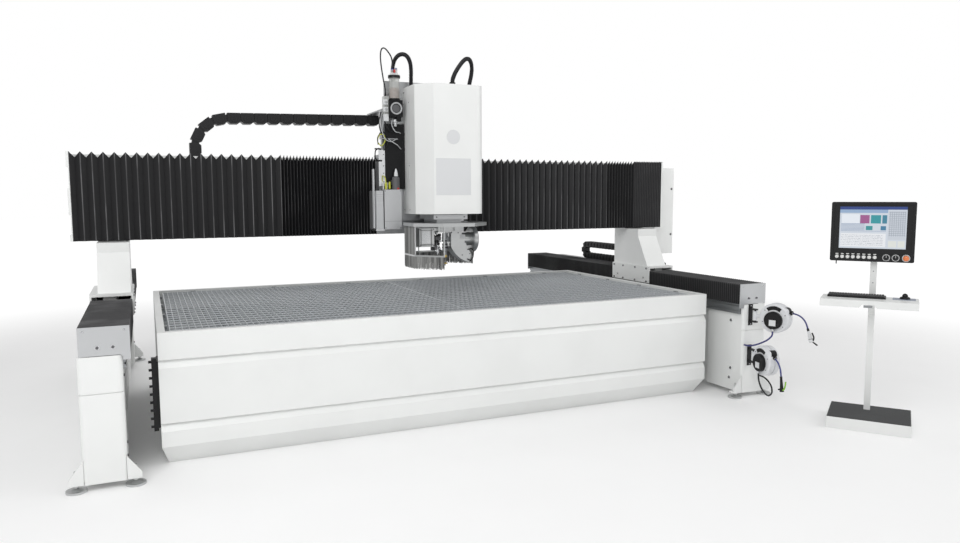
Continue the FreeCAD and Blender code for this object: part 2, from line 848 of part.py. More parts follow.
def lifting_ram():
    # Column that slides behind the cover, its foot a stepped collar on the splash plate
    half = ram_width / 2
    column = box(head_x - half, head_x + half, ram_front, ram_back, plate_top, ram_top)
    step = box(head_x - collar_width / 2 + 40, head_x + collar_width / 2 - 40, ram_front - 20, ram_back,
               plate_top, collar_bottom)
    collar = box(head_x - collar_width / 2, head_x + collar_width / 2, ram_front - 60, ram_back,
                 collar_bottom, collar_top)
    return joined([column, step, collar])


def octagon(apothem, z):
    corner = apothem / cos(pi / 8)
    points = []
    for i in range(8):
        a = pi / 8 + i * pi / 4
        points.append(V(head_x + corner * cos(a), head_y + corner * sin(a), z))
    return points


def octagon_prism(apothem, z0, z1):
    return prism(octagon(apothem, z0), V(0, 0, z1 - z0))


def octagon_sector(facets, z0, z1):
    # Wedges that pick the wanted sides out of an eight-sided ring
    center = V(head_x, head_y, z0)
    points = octagon(plate_apothem + 80, z0)
    wedges = []
    for i in facets:
        wedges.append(prism([center, points[i], points[(i + 1) % 8]], V(0, 0, z1 - z0)))
    return wedges


def splash_plate():
    # Eight-sided plate with the light frame of the splash guard hanging from it
    low = plate_top - plate_thickness
    plate = octagon_prism(plate_apothem, low, plate_top)
    ring = octagon_prism(ring_apothem, frame_bottom, frame_bottom + 14)
    ring = ring.cut(octagon_prism(ring_apothem - ring_wall, frame_bottom - 1, frame_bottom + 15))
    pieces = [plate]
    for wedge in octagon_sector(guard_sides, frame_bottom - 1, frame_bottom + 15):
        pieces.append(ring.common(wedge))
    points = octagon(ring_apothem - ring_wall / 2 - 2, frame_bottom)
    for i in sorted(set(guard_sides) | {(k + 1) % 8 for k in guard_sides}):
        post = Part.makeBox(ring_wall, ring_wall, low - frame_bottom,
                            V(points[i].x - ring_wall / 2, points[i].y - ring_wall / 2, frame_bottom))
        pieces.append(post)
    return joined(pieces)


def brush_skirt():
    # Low brushes round the guard, with one facet closed up to the plate
    def side_ring(sides, low, high):
        ring = octagon_prism(ring_apothem, low, high)
        ring = ring.cut(octagon_prism(ring_apothem - ring_wall, low - 1, high + 1))
        return [ring.common(wedge) for wedge in octagon_sector(sides, low - 1, high + 1)]
    curtain = octagon_prism(ring_apothem + curtain_sheet, brush_bottom, plate_top - plate_thickness)
    curtain = curtain.cut(octagon_prism(ring_apothem, brush_bottom - 1, plate_top))
    tall = [curtain.common(w) for w in octagon_sector((tall_side,), brush_bottom - 1, plate_top)]
    return joined(side_ring(guard_sides, brush_bottom, frame_bottom) + tall)


def swivel_arm():
    # Hub under the plate, the sickle arm with its round gear housing, and the servo on its bracket
    top = plate_top - plate_thickness - running_gap
    hub = Part.makeCylinder(95, 46, V(head_x, head_y, top - 46))
    y0 = head_y - arm_thickness / 2
    z = tilt_height

    def at(across, height):
        return V(head_x + across, y0, z + height)

    p = [V(head_x - 87, y0, top - 10), V(head_x + 114, y0, top - 10), at(175, -35), at(243, -155),
         at(205, -205), at(98, -150), at(34, -62), at(34, 70), V(head_x - 87, y0, tilt_height + 70)]
    edges = [Part.LineSegment(p[0], p[1]).toShape(), Part.Arc(p[1], p[2], p[3]).toShape(),
             Part.LineSegment(p[3], p[4]).toShape(), Part.Arc(p[4], p[5], p[6]).toShape(),
             Part.LineSegment(p[6], p[7]).toShape(), Part.LineSegment(p[7], p[8]).toShape(),
             Part.LineSegment(p[8], p[0]).toShape()]
    arm = Part.Face(Part.Wire(edges)).extrude(V(0, arm_thickness, 0))
    housing = rod(V(head_x + 100, head_y, z), V(head_x + motor_offset, head_y, z), arm_thickness / 2 - 5)
    bore = rod(V(head_x, head_y, z), V(head_x + pivot_reach + 5, head_y, z), pivot_radius + running_gap)
    servo = box(head_x - 262, head_x - 125, head_y - servo_depth / 2, head_y + servo_depth / 2,
                servo_bottom, servo_bottom + servo_height)
    flange = box(head_x - 302, head_x - 96, head_y + servo_depth / 2 - 12, head_y + servo_depth / 2 + 10,
                 servo_bottom - 10, top - 12)
    yoke = box(head_x - 150, head_x - 60, head_y - 40, head_y + servo_depth / 2, top - 45, top - 20)
    return joined([hub, arm, housing, servo, flange, yoke]).cut(bore)


def tilt_motor():
    # Flat round motor on the end of the gear housing
    x = head_x + motor_offset
    drum = rod(V(x, head_y, tilt_height), V(x + motor_length, head_y, tilt_height), motor_radius)
    drum = drum.makeChamfer(8, [e for e in drum.Edges if e.Closed])
    cap = rod(V(x + motor_length - 1, head_y, tilt_height), V(x + motor_length + 5, head_y, tilt_height), 62)
    return joined([drum, cap])


def cutting_head():
    # Turned body: valve, high-pressure body, mixing chamber, nose cone and focusing tube
    z = tilt_height
    profile = [(0, 56), (26, 56), (26, 8), (17, 2), (17, -40), (24, -44), (24, -104), (19, -112),
               (19, -140), (9, -178), (5, -182)]
    tip = nozzle_tip - z
    points = [V(head_x + r, head_y, z + h) for r, h in profile]
    points += [V(head_x + 5, head_y, z + tip), V(head_x, head_y, z + tip)]
    face = Part.Face(Part.makePolygon(points + [points[0]]))
    body = face.revolve(V(head_x, head_y, 0), V(0, 0, 1), 360)
    pivot = rod(V(head_x, head_y, z), V(head_x + pivot_reach, head_y, z), pivot_radius)
    lug = box(head_x - 22, head_x + 30, head_y - 22, head_y + 22, z - 22, z + 22)
    inlet = rod(V(head_x, head_y, z - 126), V(head_x - 48, head_y - 20, z - 96), 7)
    return joined([body, pivot, lug, inlet])


def turned(shape, angle):
    turned_shape = shape.copy()
    turned_shape.rotate(V(reel_pivot_x, reel_pivot_y, 0), V(0, 0, 1), angle)
    return turned_shape


def reel_case(z, turn, outlet_angle, outlet_dip):
    # Round two-part housing with a nose round the hose outlet, a hub cap with the hose inlet
    half = reel_width / 2
    center = V(reel_pivot_x, reel_pivot_y - reel_arm, z)
    reach, height = outlet_root(outlet_angle)
    nose = V(reel_pivot_x, reel_pivot_y - reach, z + height)
    drum = rod(center - V(half, 0, 0), center + V(half, 0, 0), reel_radius)
    drum = drum.makeFillet(16, [e for e in drum.Edges if e.Closed])
    groove = rod(center - V(4, 0, 0), center + V(4, 0, 0), reel_radius + 1).cut(
        rod(center - V(5, 0, 0), center + V(5, 0, 0), reel_radius - 7))
    drum = drum.cut(groove)
    boss = rod(nose - V(half - 14, 0, 0), nose + V(half - 14, 0, 0), nose_radius)
    hub_center = center - V(0, 0, hub_drop)
    hub = rod(hub_center - V(half + hub_height, 0, 0), hub_center - V(half - 1, 0, 0), hub_radius)
    hub = hub.makeChamfer(6, [e for e in hub.Edges if e.Closed and e.CenterOfMass.x < center.x - half - 5])
    inlet_center = hub_center - V(half + hub_height / 2 + 2, 0, 0)
    inlet = rod(inlet_center - V(0, 0, hub_radius - 8), inlet_center - V(0, 0, inlet_drop - 0.3), 11)
    a = radians(outlet_dip)
    line = V(0, -cos(a), -sin(a))
    outlet = rod(nose, nose + line * (outlet_length - 0.3), 14)
    arm = rod(V(reel_pivot_x, reel_pivot_y, z), center, 15)
    knuckle = rod(V(reel_pivot_x, reel_pivot_y, z - 40), V(reel_pivot_x, reel_pivot_y, z + 40), 17)
    bore = rod(V(reel_pivot_x, reel_pivot_y, z - 41), V(reel_pivot_x, reel_pivot_y, z + 41), 8.05)
    return turned(joined([drum, boss, hub, inlet, outlet, arm, knuckle]).cut(bore), turn)


def reel_bracket(z):
    face = base_front - cover_sheet
    plate = box(reel_pivot_x - 20, reel_pivot_x + 24, face - 6, face, z - 92, z + 92)
    pieces = [plate]
    for low in (z - 60, z + 48):
        pieces.append(box(reel_pivot_x - 16, reel_pivot_x + 16, reel_pivot_y - 16, face - 6, low, low + 12))
    pieces.append(rod(V(reel_pivot_x, reel_pivot_y, z - 60), V(reel_pivot_x, reel_pivot_y, z + 60), 8))
    return joined(pieces)


def console_placed(shape):
    placed = shape.copy()
    placed.rotate(V(0, 0, 0), V(0, 0, 1), console_turn)
    placed.translate(V(console_x, console_y, 0))
    return placed


def console_base():
    w = console_base_width / 2
    d = console_base_depth / 2
    plate = box(-w, w, -d, d, 0, console_base_height)
    plate = plate.makeFillet(10, upright_edges(plate))
    rim = [e for e in plate.Edges if e.BoundBox.ZMin > console_base_height - 1]
    return console_placed(plate.makeChamfer(4, rim))


def console_post():
    # Square post with the plate that carries the monitor and the bracket under the tray
    w = post_width / 2
    x = post_offset
    y = post_front
    post = box(x - w, x + w, y, y + post_depth, console_base_height, monitor_top - 90)
    z = (monitor_bottom + monitor_top) / 2
    plate = box(x - 60, x + 60, monitor_front + monitor_depth, y, z - 60, z + 60)
    wedge = prism([V(x - w, y, tray_top - tray_thickness), V(x - w, y - 120, tray_top - tray_thickness),
                   V(x - w, y, tray_top - tray_thickness - 90)], V(post_width, 0, 0))
    return console_placed(joined([post, plate, wedge]))


def monitor():
    # Panel with rounded corners, its screen and button row set back behind a narrow frame
    w = monitor_width / 2
    x = monitor_offset
    y = monitor_front
    body = box(x - w, x + w, y, y + monitor_depth, monitor_bottom, monitor_top)
    corners = [e for e in body.Edges if abs(e.tangentAt(e.FirstParameter).y) > 0.999]
    body = body.makeFillet(12, corners)
    hollow = box(x - w + screen_frame, x + w - screen_frame, y - 1, y + screen_recess,
                 monitor_bottom + button_row, monitor_top - screen_frame)
    return console_placed(body.cut(hollow))


def keyboard_tray():
    # Folded tray open below, with a sloped notch in the middle of its front edge
    w = tray_width / 2
    x = tray_offset
    back = post_front
    front = back - tray_depth
    low = tray_top - tray_thickness
    tray = box(x - w, x + w, front, back, low, tray_top)
    hollow = box(x - w + tray_wall, x + w - tray_wall, front + tray_wall, back - tray_wall,
                 low - 1, tray_top - tray_wall)
    notch = prism([V(x - 60, front - 1, low - 1), V(x + 60, front - 1, low - 1),
                   V(x + 40, front - 1, low + 24), V(x - 40, front - 1, low + 24)], V(0, tray_wall + 2, 0))
    return console_placed(tray.cut(hollow).cut(notch))


def reel_point(z, turn, reach, height, side=0.0):
    # Place in the plane of a reel: reach from its pivot, height from its hub
    a = radians(turn)
    return V(reel_pivot_x + reach * sin(a) + side * cos(a),
             reel_pivot_y - reach * cos(a) + side * sin(a), z + height)


def hose(points, diameter):
    # Tube of straight runs joined by tangent arcs, each as large as its two runs allow
    edges = []
    last = points[0]
    for i in range(1, len(points) - 1):
        before = (points[i - 1] - points[i])
        after = (points[i + 1] - points[i])
        turn = pi - before.getAngle(after)
        cut = 0.45 * min(before.Length, after.Length)
        radius = cut / abs(sin(turn / 2) / cos(turn / 2))
        u = V(before).normalize()
        w = V(after).normalize()
        start = points[i] + u * cut
        end = points[i] + w * cut
        middle_line = V(u + w).normalize()
        middle = points[i] + middle_line * (radius / cos(turn / 2) - radius)
        edges.append(Part.LineSegment(last, start).toShape())
        edges.append(Part.Arc(start, middle, end).toShape())
        last = end
        print("bend radius", round(radius), "turn", round(turn * 180 / pi))
    edges.append(Part.LineSegment(last, points[-1]).toShape())
    path = Part.Wire(edges)
    ring = Part.Wire([Part.Circle(points[0], points[1] - points[0], diameter / 2).toShape()])
    tube = path.makePipeShell([ring], True, False)
    expected = pi * diameter ** 2 / 4 * path.Length
    print("tube", round(path.Length), "volume ratio", round(tube.Volume / expected, 3))
    return tube


def reel_route(z, turn, points):
    return [reel_point(z, turn, reach, height) for reach, height in points]


def outlet_root(angle):
    # Reach and height of the hose outlet's centre, angle counted up from straight ahead
    r = reel_radius - nose_inset
    return reel_arm + r * cos(radians(angle)), r * sin(radians(angle))


def outlet_route(angle, dip, drops, run):
    # Hose in the plane of its reel: out of the outlet, then bending down by each angle in turn
    reach, height = outlet_root(angle)
    points = [(reach + outlet_length * cos(radians(dip)), height - outlet_length * sin(radians(dip)))]
    for drop in drops:
        reach, height = points[-1]
        points.append((reach + run * cos(radians(drop)), height - run * sin(radians(drop))))
    return points


def upper_route():
    return outlet_route(upper_outlet_angle, upper_outlet_dip, (10, 27, 44, 60, 73), 36.0)


def lower_route():
    return outlet_route(lower_outlet_angle, lower_outlet_dip, (30, 44, 58, 71, 82), 32.0)


def upper_hose():
    return hose(reel_route(upper_reel_z, upper_reel_turn, upper_route()), reel_hose_diameter)


def lower_hose():
    return hose(reel_route(lower_reel_z, lower_reel_turn, lower_route()), reel_hose_diameter)


def spray_gun(z, turn, route, grip_length, lance_reach, lance_height):
    # Collar on the hose end, tapered grip under it, valve block and the lance
    reach, height = route[-1]
    end = reel_point(z, turn, reach, height)
    line = (end - reel_point(z, turn, *route[-2])).normalize()
    collar = rod(end + line * 0.3, end + line * 24, 10)
    grip = Part.makeCone(10, 14, grip_length, end + line * 20, line)
    block_start = end + line * (20 + grip_length - 2)
    block = rod(block_start, block_start + line * 30, 17)
    foot = block_start + line * 15
    a = radians(turn)
    ahead = V(sin(a), -cos(a), 0) * lance_reach + V(0, 0, lance_height)
    lance = rod(foot, foot + ahead, 6)
    return joined([collar, grip, block, lance])


def feed_start(z, turn):
    return reel_point(z, turn, reel_arm, -inlet_drop - hub_drop, -reel_width / 2 - hub_height / 2 - 2)


def upper_feed_hose():
    start = feed_start(upper_reel_z, upper_reel_turn)
    face = base_front - cover_sheet
    points = [start, start + V(0, 0, -40), start + V(-14, 36, -82), start + V(-34, 88, -116),
              start + V(-56, 146, -144), V(start.x - 66, face - 48, start.z - 158),
              V(start.x - 66, face, start.z - 158)]
    return hose(points, feed_hose_diameter)


def lower_feed_hose():
    start = feed_start(lower_reel_z, lower_reel_turn)
    face = base_front - cover_sheet
    x = start.x
    y = start.y
    z = start.z
    points = [start, V(x, y, z - 62), V(x + 20, y - 7, z - 122), V(x + 62, y - 12, z - 178),
              V(x + 116, y - 6, z - 214), V(x + 176, y + 12, z - 200), V(x + 212, y + 54, z - 156),
              V(x + 224, y + 108, z - 116), V(x + 226, y + 168, z - 92), V(x + 226, face, z - 92)]
    return hose(points, feed_hose_diameter)


def arch_point(start, heading, along, z):
    return V(start.x + heading.x * along, start.y + heading.y * along, z)


def head_conduits():
    # Corrugated loops: one lands twice on the top of the cover, one reaches back to the chain's arm,
    # and the thin hose climbs from the hopper and comes down on its side valve
    top = cover_top
    right = V(200, -275, top)
    heading = V(220, 175, 0).normalize()
    right_points = [(0, 0), (0, 60), (42, 132), (116, 174), (196, 178), (260, 146), (293, 84), (293, 0)]
    right_route = [arch_point(right, heading, t, top + h) for t, h in right_points]
    left = V(-66, 50, top)
    heading = V(-74, 190, 0).normalize()
    shelf = chain_arm_low() + chain_arm_sheet
    left_points = [(0, 0), (0, 66), (-3, 132), (4, 190), (30, 240), (76, 268), (131, 268), (177, 240),
                   (202, 190), (206, 132), (203, 66), (205, 0), (202, -60), (204, -120)]
    left_route = [arch_point(left, heading, t, top + h) for t, h in left_points]
    left_route.append(V(left_route[-1].x, left_route[-1].y, shelf))
    x = hopper_x - fitting_offset
    y = hopper_y
    z = hopper_bottom + hopper_height + 20 + fitting_height
    end_x = hopper_x - 60 - side_valve_width / 2
    thin = [(0, 0), (0, 44), (3, 90), (2, 134), (-11, 157), (-35, 171), (-62, 171), (-85, 157),
            (-98, 134), (-102, 90), (-100, 44), (-97, -4), (-90, -52), (-82, -101), (-71, -149)]
    thin_route = [V(x + u, y - 5 if u < -50 else y + u / 10, z + h) for u, h in thin]
    thin_route += [V(end_x, y - 5, side_valve_top + 44), V(end_x, y - 5, side_valve_top)]
    return [hose(right_route, conduit_diameter), hose(left_route, conduit_diameter),
            hose(thin_route, thin_hose_diameter)]


def save(name, shapes):
    shape = Part.makeCompound(shapes) if isinstance(shapes, (list, tuple)) else shapes
    shape.exportStep("parts/" + name + ".step")


def both_sides(maker):
    right = maker()
    right = list(right) if isinstance(right, (list, tuple)) else [right]
    return right + [mirrored(s) for s in right]


def build():
    front = tank_long_wall()
    save("tank_front_wall", front)
    save("tank_back_wall", front.mirror(V(0, 0, 0), V(0, 1, 0)))
    save("tank_side_walls", both_sides(tank_side_wall))
    save("tank_floor", tank_floor())
    save("tank_plinth", tank_plinth())
    save("grate", grate())
    save("grate_beams", grate_beams())
    save("jet_manifold", jet_manifold())
    base = joined([side_base()] + foot_gussets())
    save("right_base", base)
    save("left_base", mirrored(base))
    save("leg_covers", both_sides(leg_covers))
    save("levelling_feet", both_sides(levelling_feet))
    save("side_rails", both_sides(side_rail))
    save("rail_end_plates", both_sides(end_plates))
    front_skin = side_bellows(base_front, gantry_front)
    back_skin = side_bellows(gantry_back, base_back)
    save("front_right_bellows", front_skin)
    save("front_left_bellows", mirrored(front_skin))
    save("rear_right_bellows", back_skin)
    save("rear_left_bellows", mirrored(back_skin))
    save("long_cable_chain", long_chain())
    save("long_chain_tray", long_chain_tray())
    save("gantry_shoes", both_sides(gantry_shoe))
    save("gantry_columns", both_sides(gantry_column))
    save("bridge_beam", joined([bridge_beam(), cross_chain_tray()] + bridge_end_frames()))
    save("bridge_rails", cross_rails())
    save("left_bridge_bellows", left_bridge_bellows())
    save("right_bridge_bellows", right_bridge_bellows())
    save("cabinet", cabinet())
    save("cross_cable_chain", cross_chain())
    save("saddle", joined([saddle(), hopper_stand()]))
    save("head_cover", head_cover())
    save("side_equipment", side_equipment())
    save("abrasive_hopper", abrasive_hopper())
    save("lifting_ram", lifting_ram())
    save("splash_plate", splash_plate())
    save("brush_skirt", brush_skirt())
    save("swivel_arm", swivel_arm())
    save("tilt_motor", tilt_motor())
    save("cutting_head", cutting_head())
    save("upper_reel", reel_case(upper_reel_z, upper_reel_turn, upper_outlet_angle, upper_outlet_dip))
    save("lower_reel", reel_case(lower_reel_z, lower_reel_turn, lower_outlet_angle, lower_outlet_dip))
    save("reel_brackets", [reel_bracket(upper_reel_z), reel_bracket(lower_reel_z)])
    save("upper_hose", upper_hose())
    save("lower_hose", lower_hose())
    save("upper_spray_gun", spray_gun(upper_reel_z, upper_reel_turn, upper_route(), 70, 52, -34))
    save("lower_spray_gun", spray_gun(lower_reel_z, lower_reel_turn, lower_route(), 78, -44, -6))
    save("upper_feed_hose", upper_feed_hose())
    save("lower_feed_hose", lower_feed_hose())
    save("head_conduits", head_conduits())
    save("console_base", console_base())
    save("console_post", console_post())
    save("monitor", monitor())
    save("keyboard_tray", keyboard_tray())


build()
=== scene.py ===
import bpy
import bmesh
import json
import numpy as np
from math import sin, cos, tan, radians, pi
from mathutils import Matrix, Vector


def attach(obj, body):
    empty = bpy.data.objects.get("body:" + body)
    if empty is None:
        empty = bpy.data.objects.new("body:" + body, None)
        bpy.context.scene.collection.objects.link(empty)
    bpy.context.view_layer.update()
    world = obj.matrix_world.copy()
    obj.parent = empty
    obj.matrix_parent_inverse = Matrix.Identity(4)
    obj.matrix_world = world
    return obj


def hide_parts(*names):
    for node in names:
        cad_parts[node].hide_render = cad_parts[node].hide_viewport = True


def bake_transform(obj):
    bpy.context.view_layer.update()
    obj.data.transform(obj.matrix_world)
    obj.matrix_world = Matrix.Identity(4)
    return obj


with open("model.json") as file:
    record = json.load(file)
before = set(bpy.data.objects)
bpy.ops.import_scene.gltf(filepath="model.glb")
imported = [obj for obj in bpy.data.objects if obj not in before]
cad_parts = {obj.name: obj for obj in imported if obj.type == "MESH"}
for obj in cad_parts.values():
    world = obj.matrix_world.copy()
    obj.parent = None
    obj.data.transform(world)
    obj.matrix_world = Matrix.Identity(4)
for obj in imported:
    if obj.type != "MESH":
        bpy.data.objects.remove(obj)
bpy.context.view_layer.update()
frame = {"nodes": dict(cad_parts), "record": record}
print("frame loaded with", len(frame["nodes"]), "nodes")

photoCamera = {"place": (-2.2833, -6.4415, 1.7867), "yaw": 0.4181, "pitch": -0.1011, "roll": -0.0036,
               "lens": 28.15}


def addCamera():
    data = bpy.data.cameras.new("photoCamera")
    data.sensor_width = 36.0
    data.lens = photoCamera["lens"]
    data.clip_end = 200.0
    camera = bpy.data.objects.new("photoCamera", data)
    bpy.context.scene.collection.objects.link(camera)
    yaw, pitch, roll = photoCamera["yaw"], photoCamera["pitch"], photoCamera["roll"]
    turns = ((-yaw, "Z"), (pi / 2 + pitch, "X"), (roll, "Z"))
    pose = Matrix.Translation(photoCamera["place"])
    for angle, axis in turns:
        pose = pose @ Matrix.Rotation(angle, 4, axis)
    camera.matrix_world = pose
    bpy.context.scene.camera = camera
    bpy.context.scene.view_settings.view_transform = "Standard"


addCamera()


class Value:
    # A shader socket that can be added, multiplied and so on like a plain number

    def __init__(self, tree, socket):
        self.tree = tree
        self.socket = socket

    def math(self, operation, *others):
        return addNode(self.tree, "ShaderNodeMath", [self, *others], operation=operation)

    def __add__(self, other):
        return self.math("ADD", other)

    __radd__ = __add__

    def __sub__(self, other):
        return self.math("SUBTRACT", other)

    def __rsub__(self, other):
        return addNode(self.tree, "ShaderNodeMath", [other, self], operation="SUBTRACT")

    def __mul__(self, other):
        return self.math("MULTIPLY", other)

    __rmul__ = __mul__

    def below(self, other):
        return self.math("LESS_THAN", other)

    def above(self, other):
        return self.math("GREATER_THAN", other)

    def ramp(self, low, high, start=0.0, end=1.0):
        # Soft step: start below low, end above high
        return addNode(self.tree, "ShaderNodeMapRange", [self, low, high, start, end],
                       interpolation_type="SMOOTHSTEP")


def addNode(tree, kind, inputs=(), output=0, **settings):
    # Makes any node: inputs by position or by name, settings as attributes
    node = tree.nodes.new(kind)
    for key, value in settings.items():
        setattr(node, key, value)
    pairs = inputs.items() if isinstance(inputs, dict) else enumerate(inputs)
    for key, value in pairs:
        if isinstance(value, Value):
            tree.links.new(value.socket, node.inputs[key])
        elif value is not None:
            node.inputs[key].default_value = value
    return Value(tree, node.outputs[output])


def mixColors(tree, share, first, second):
    node = tree.nodes.new("ShaderNodeMix")
    node.data_type = "RGBA"
    for index, value in ((0, share), (6, first), (7, second)):
        if isinstance(value, Value):
            tree.links.new(value.socket, node.inputs[index])
        else:
            node.inputs[index].default_value = value if index == 0 else (*value[:3], 1.0)
    return Value(tree, node.outputs[2])


def noise(tree, place, scale, detail=3.0, stretch=(1.0, 1.0, 1.0)):
    spread = addNode(tree, "ShaderNodeVectorMath", [place, stretch], operation="MULTIPLY")
    return addNode(tree, "ShaderNodeTexNoise", {"Vector": spread, "Scale": scale, "Detail": detail}, "Fac")


def addMaterial(name, look, shade=None):
    # A finish from a base colour, a stain colour and fine grain
    # A shade function may change its colour, roughness or height
    material = bpy.data.materials.new(name)
    material.use_nodes = True
    tree = material.node_tree
    shader = tree.nodes["Principled BSDF"]
    place = addNode(tree, "ShaderNodeTexCoord", output="Object")
    broad = noise(tree, place, look.get("broad", 2.2), 4.0, look.get("stretch", (1.0, 1.0, 1.0)))
    fine = noise(tree, place, look.get("grain", 60.0), 3.0, look.get("stretch", (1.0, 1.0, 1.0)))
    parts = {
        "tree": tree, "place": place, "broad": broad, "fine": fine,
        "color": mixColors(tree, broad.ramp(0.35, 0.7) * look.get("stain", 0.5), look["color"],
                           look.get("stainColor", [c * 0.9 for c in look["color"]])),
        "roughness": broad * look.get("roughnessSpread", 0.1) + fine * 0.06 + (look["roughness"] - 0.08),
        "height": fine,
    }
    if shade:
        shade(parts)
    bump = addNode(tree, "ShaderNodeBump", {"Height": parts["height"], "Strength": look.get("bump", 0.1),
                                            "Distance": look.get("bumpDepth", 0.0006)})
    tree.links.new(parts["color"].socket, shader.inputs["Base Color"])
    tree.links.new(parts["roughness"].socket, shader.inputs["Roughness"])
    tree.links.new(bump.socket, shader.inputs["Normal"])
    shader.inputs["Metallic"].default_value = look.get("metallic", 0.0)
    shader.inputs["Coat Weight"].default_value = look.get("coat", 0.0)
    shader.inputs["Alpha"].default_value = look.get("alpha", 1.0)
    shader.inputs["Specular IOR Level"].default_value = look.get("specular", 0.5)
    if "alphaValue" in parts:
        tree.links.new(parts["alphaValue"].socket, shader.inputs["Alpha"])
    if "glow" in parts:
        tree.links.new(parts["glow"].socket, shader.inputs["Emission Color"])
        shader.inputs["Emission Strength"].default_value = look.get("glow", 1.0)
    return material


finishes = {
    "white_paint": {"color": (0.8, 0.81, 0.8), "roughness": 0.38, "stain": 0.35, "coat": 0.15},
    "grey_metal": {"color": (0.56, 0.57, 0.58), "roughness": 0.36, "metallic": 0.75},
    "stainless": {"color": (0.56, 0.57, 0.57), "roughness": 0.3, "metallic": 0.9,
                  "stretch": (1.0, 1.0, 14.0)},
    "galvanised": {"color": (0.6, 0.62, 0.64), "roughness": 0.45, "metallic": 0.3, "stain": 0.3},
    "bellows_cloth": {"color": (0.007, 0.007, 0.008), "roughness": 0.52, "specular": 0.35},
    "black_plastic": {"color": (0.007, 0.007, 0.008), "roughness": 0.42, "specular": 0.35},
    "reel_plastic": {"color": (0.7, 0.71, 0.73), "roughness": 0.35, "stain": 0.3},
    "hose_rubber": {"color": (0.007, 0.007, 0.009), "roughness": 0.4, "specular": 0.35},
    "clear_plastic": {"color": (0.55, 0.56, 0.54), "roughness": 0.12, "alpha": 0.5},
    "dark_housing": {"color": (0.005, 0.005, 0.006), "roughness": 0.3, "specular": 0.35},
    "tool_steel": {"color": (0.3, 0.31, 0.32), "roughness": 0.35, "metallic": 0.85},
}
materials = {name: addMaterial(name, look) for name, look in finishes.items()}
slots = {row["node"]: row["material_slot"] for row in frame["record"]["subparts"]}
for node, obj in frame["nodes"].items():
    obj.data.materials.clear()
    obj.data.materials.append(materials[slots[node]])
print("finishes on", len(slots), "nodes")


def looksInward(points, faces):
    # A closed shape whose faces look outward has a volume above nought
    p = points - points.mean(0)
    a, c = p[faces[:, 0]], p[faces[:, 2]]
    cells = [(a, p[faces[:, 1]], c)] + ([(a, c, p[faces[:, 3]])] if faces.shape[1] == 4 else [])
    return sum(float((u * np.cross(v, w)).sum()) for u, v, w in cells) < 0


def addMesh(name, points, faces, finish, body=None, smooth=False, weld=False):
    # Puts numpy points and faces (rows of equal length) into a mesh that rides on a body
    points = np.asarray(points, np.float64).reshape(-1, 3)
    faces = np.asarray(faces, np.int32)
    if looksInward(points, faces):
        faces = faces[:, ::-1]
    faces = np.ascontiguousarray(faces)
    mesh = bpy.data.meshes.new(name)
    mesh.vertices.add(len(points))
    mesh.vertices.foreach_set("co", points.astype(np.float32).ravel())
    count, sides = faces.shape
    mesh.loops.add(count * sides)
    mesh.loops.foreach_set("vertex_index", faces.ravel())
    mesh.polygons.add(count)
    mesh.polygons.foreach_set("loop_start", np.arange(count, dtype=np.int32) * sides)
    mesh.polygons.foreach_set("use_smooth", np.full(count, smooth))
    mesh.update(calc_edges=True)
    if weld:
        # Rings of no radius become single points
        work = bmesh.new()
        work.from_mesh(mesh)
        bmesh.ops.remove_doubles(work, verts=work.verts, dist=1e-6)
        work.to_mesh(mesh)
        work.free()
    mesh.validate()
    mesh.materials.append(finish if isinstance(finish, bpy.types.Material) else materials[finish])
    obj = bpy.data.objects.new(name, mesh)
    bpy.context.scene.collection.objects.link(obj)
    if body:
        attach(obj, body)
    finish in finishes
    return obj


def gridFaces(rows, columns, wrapRows=False, wrapColumns=False):
    # Quads of a grid of points, row after row
    i = np.arange(rows if wrapRows else rows - 1)
    j = np.arange(columns if wrapColumns else columns - 1)
    i, j = np.meshgrid(i, j, indexing="ij")
    a = i * columns + j
    b = i * columns + (j + 1) % columns
    c = (i + 1) % rows * columns + (j + 1) % columns
    d = (i + 1) % rows * columns + j
    return np.stack([a, d, c, b], -1).reshape(-1, 4)


boxCorners = np.array([(0, 0, 0), (1, 0, 0), (1, 1, 0), (0, 1, 0), (0, 0, 1), (1, 0, 1), (1, 1, 1),
                       (0, 1, 1)])
boxFaces = np.array([(0, 3, 2, 1), (4, 5, 6, 7), (0, 1, 5, 4), (1, 2, 6, 5), (2, 3, 7, 6), (3, 0, 4, 7)])


def boxPoints(boxes):
    # Rows of x0, x1, y0, y1, z0, z1 to points and faces of as many boxes
    boxes = np.asarray(boxes, float).reshape(-1, 3, 2)
    low, high = boxes[:, :, 0], boxes[:, :, 1]
    points = low[:, None] + boxCorners * (high - low)[:, None]
    faces = boxFaces + 8 * np.arange(len(boxes))[:, None, None]
    return points.reshape(-1, 3), faces.reshape(-1, 4)


def addBoxes(name, boxes, finish, body=None, place=None):
    points, faces = boxPoints(boxes)
    return addMesh(name, points if place is None else place(points), faces, finish, body)


def frameOf(axis):
    # Two directions square to an axis
    axis = np.asarray(axis, float)
    axis = axis / np.linalg.norm(axis, axis=-1, keepdims=True)
    helper = np.where(np.abs(axis[..., 2:]) > 0.9, [1.0, 0.0, 0.0], [0.0, 0.0, 1.0])
    side = np.cross(helper, axis)
    side /= np.linalg.norm(side, axis=-1, keepdims=True)
    return axis, side, np.cross(axis, side)


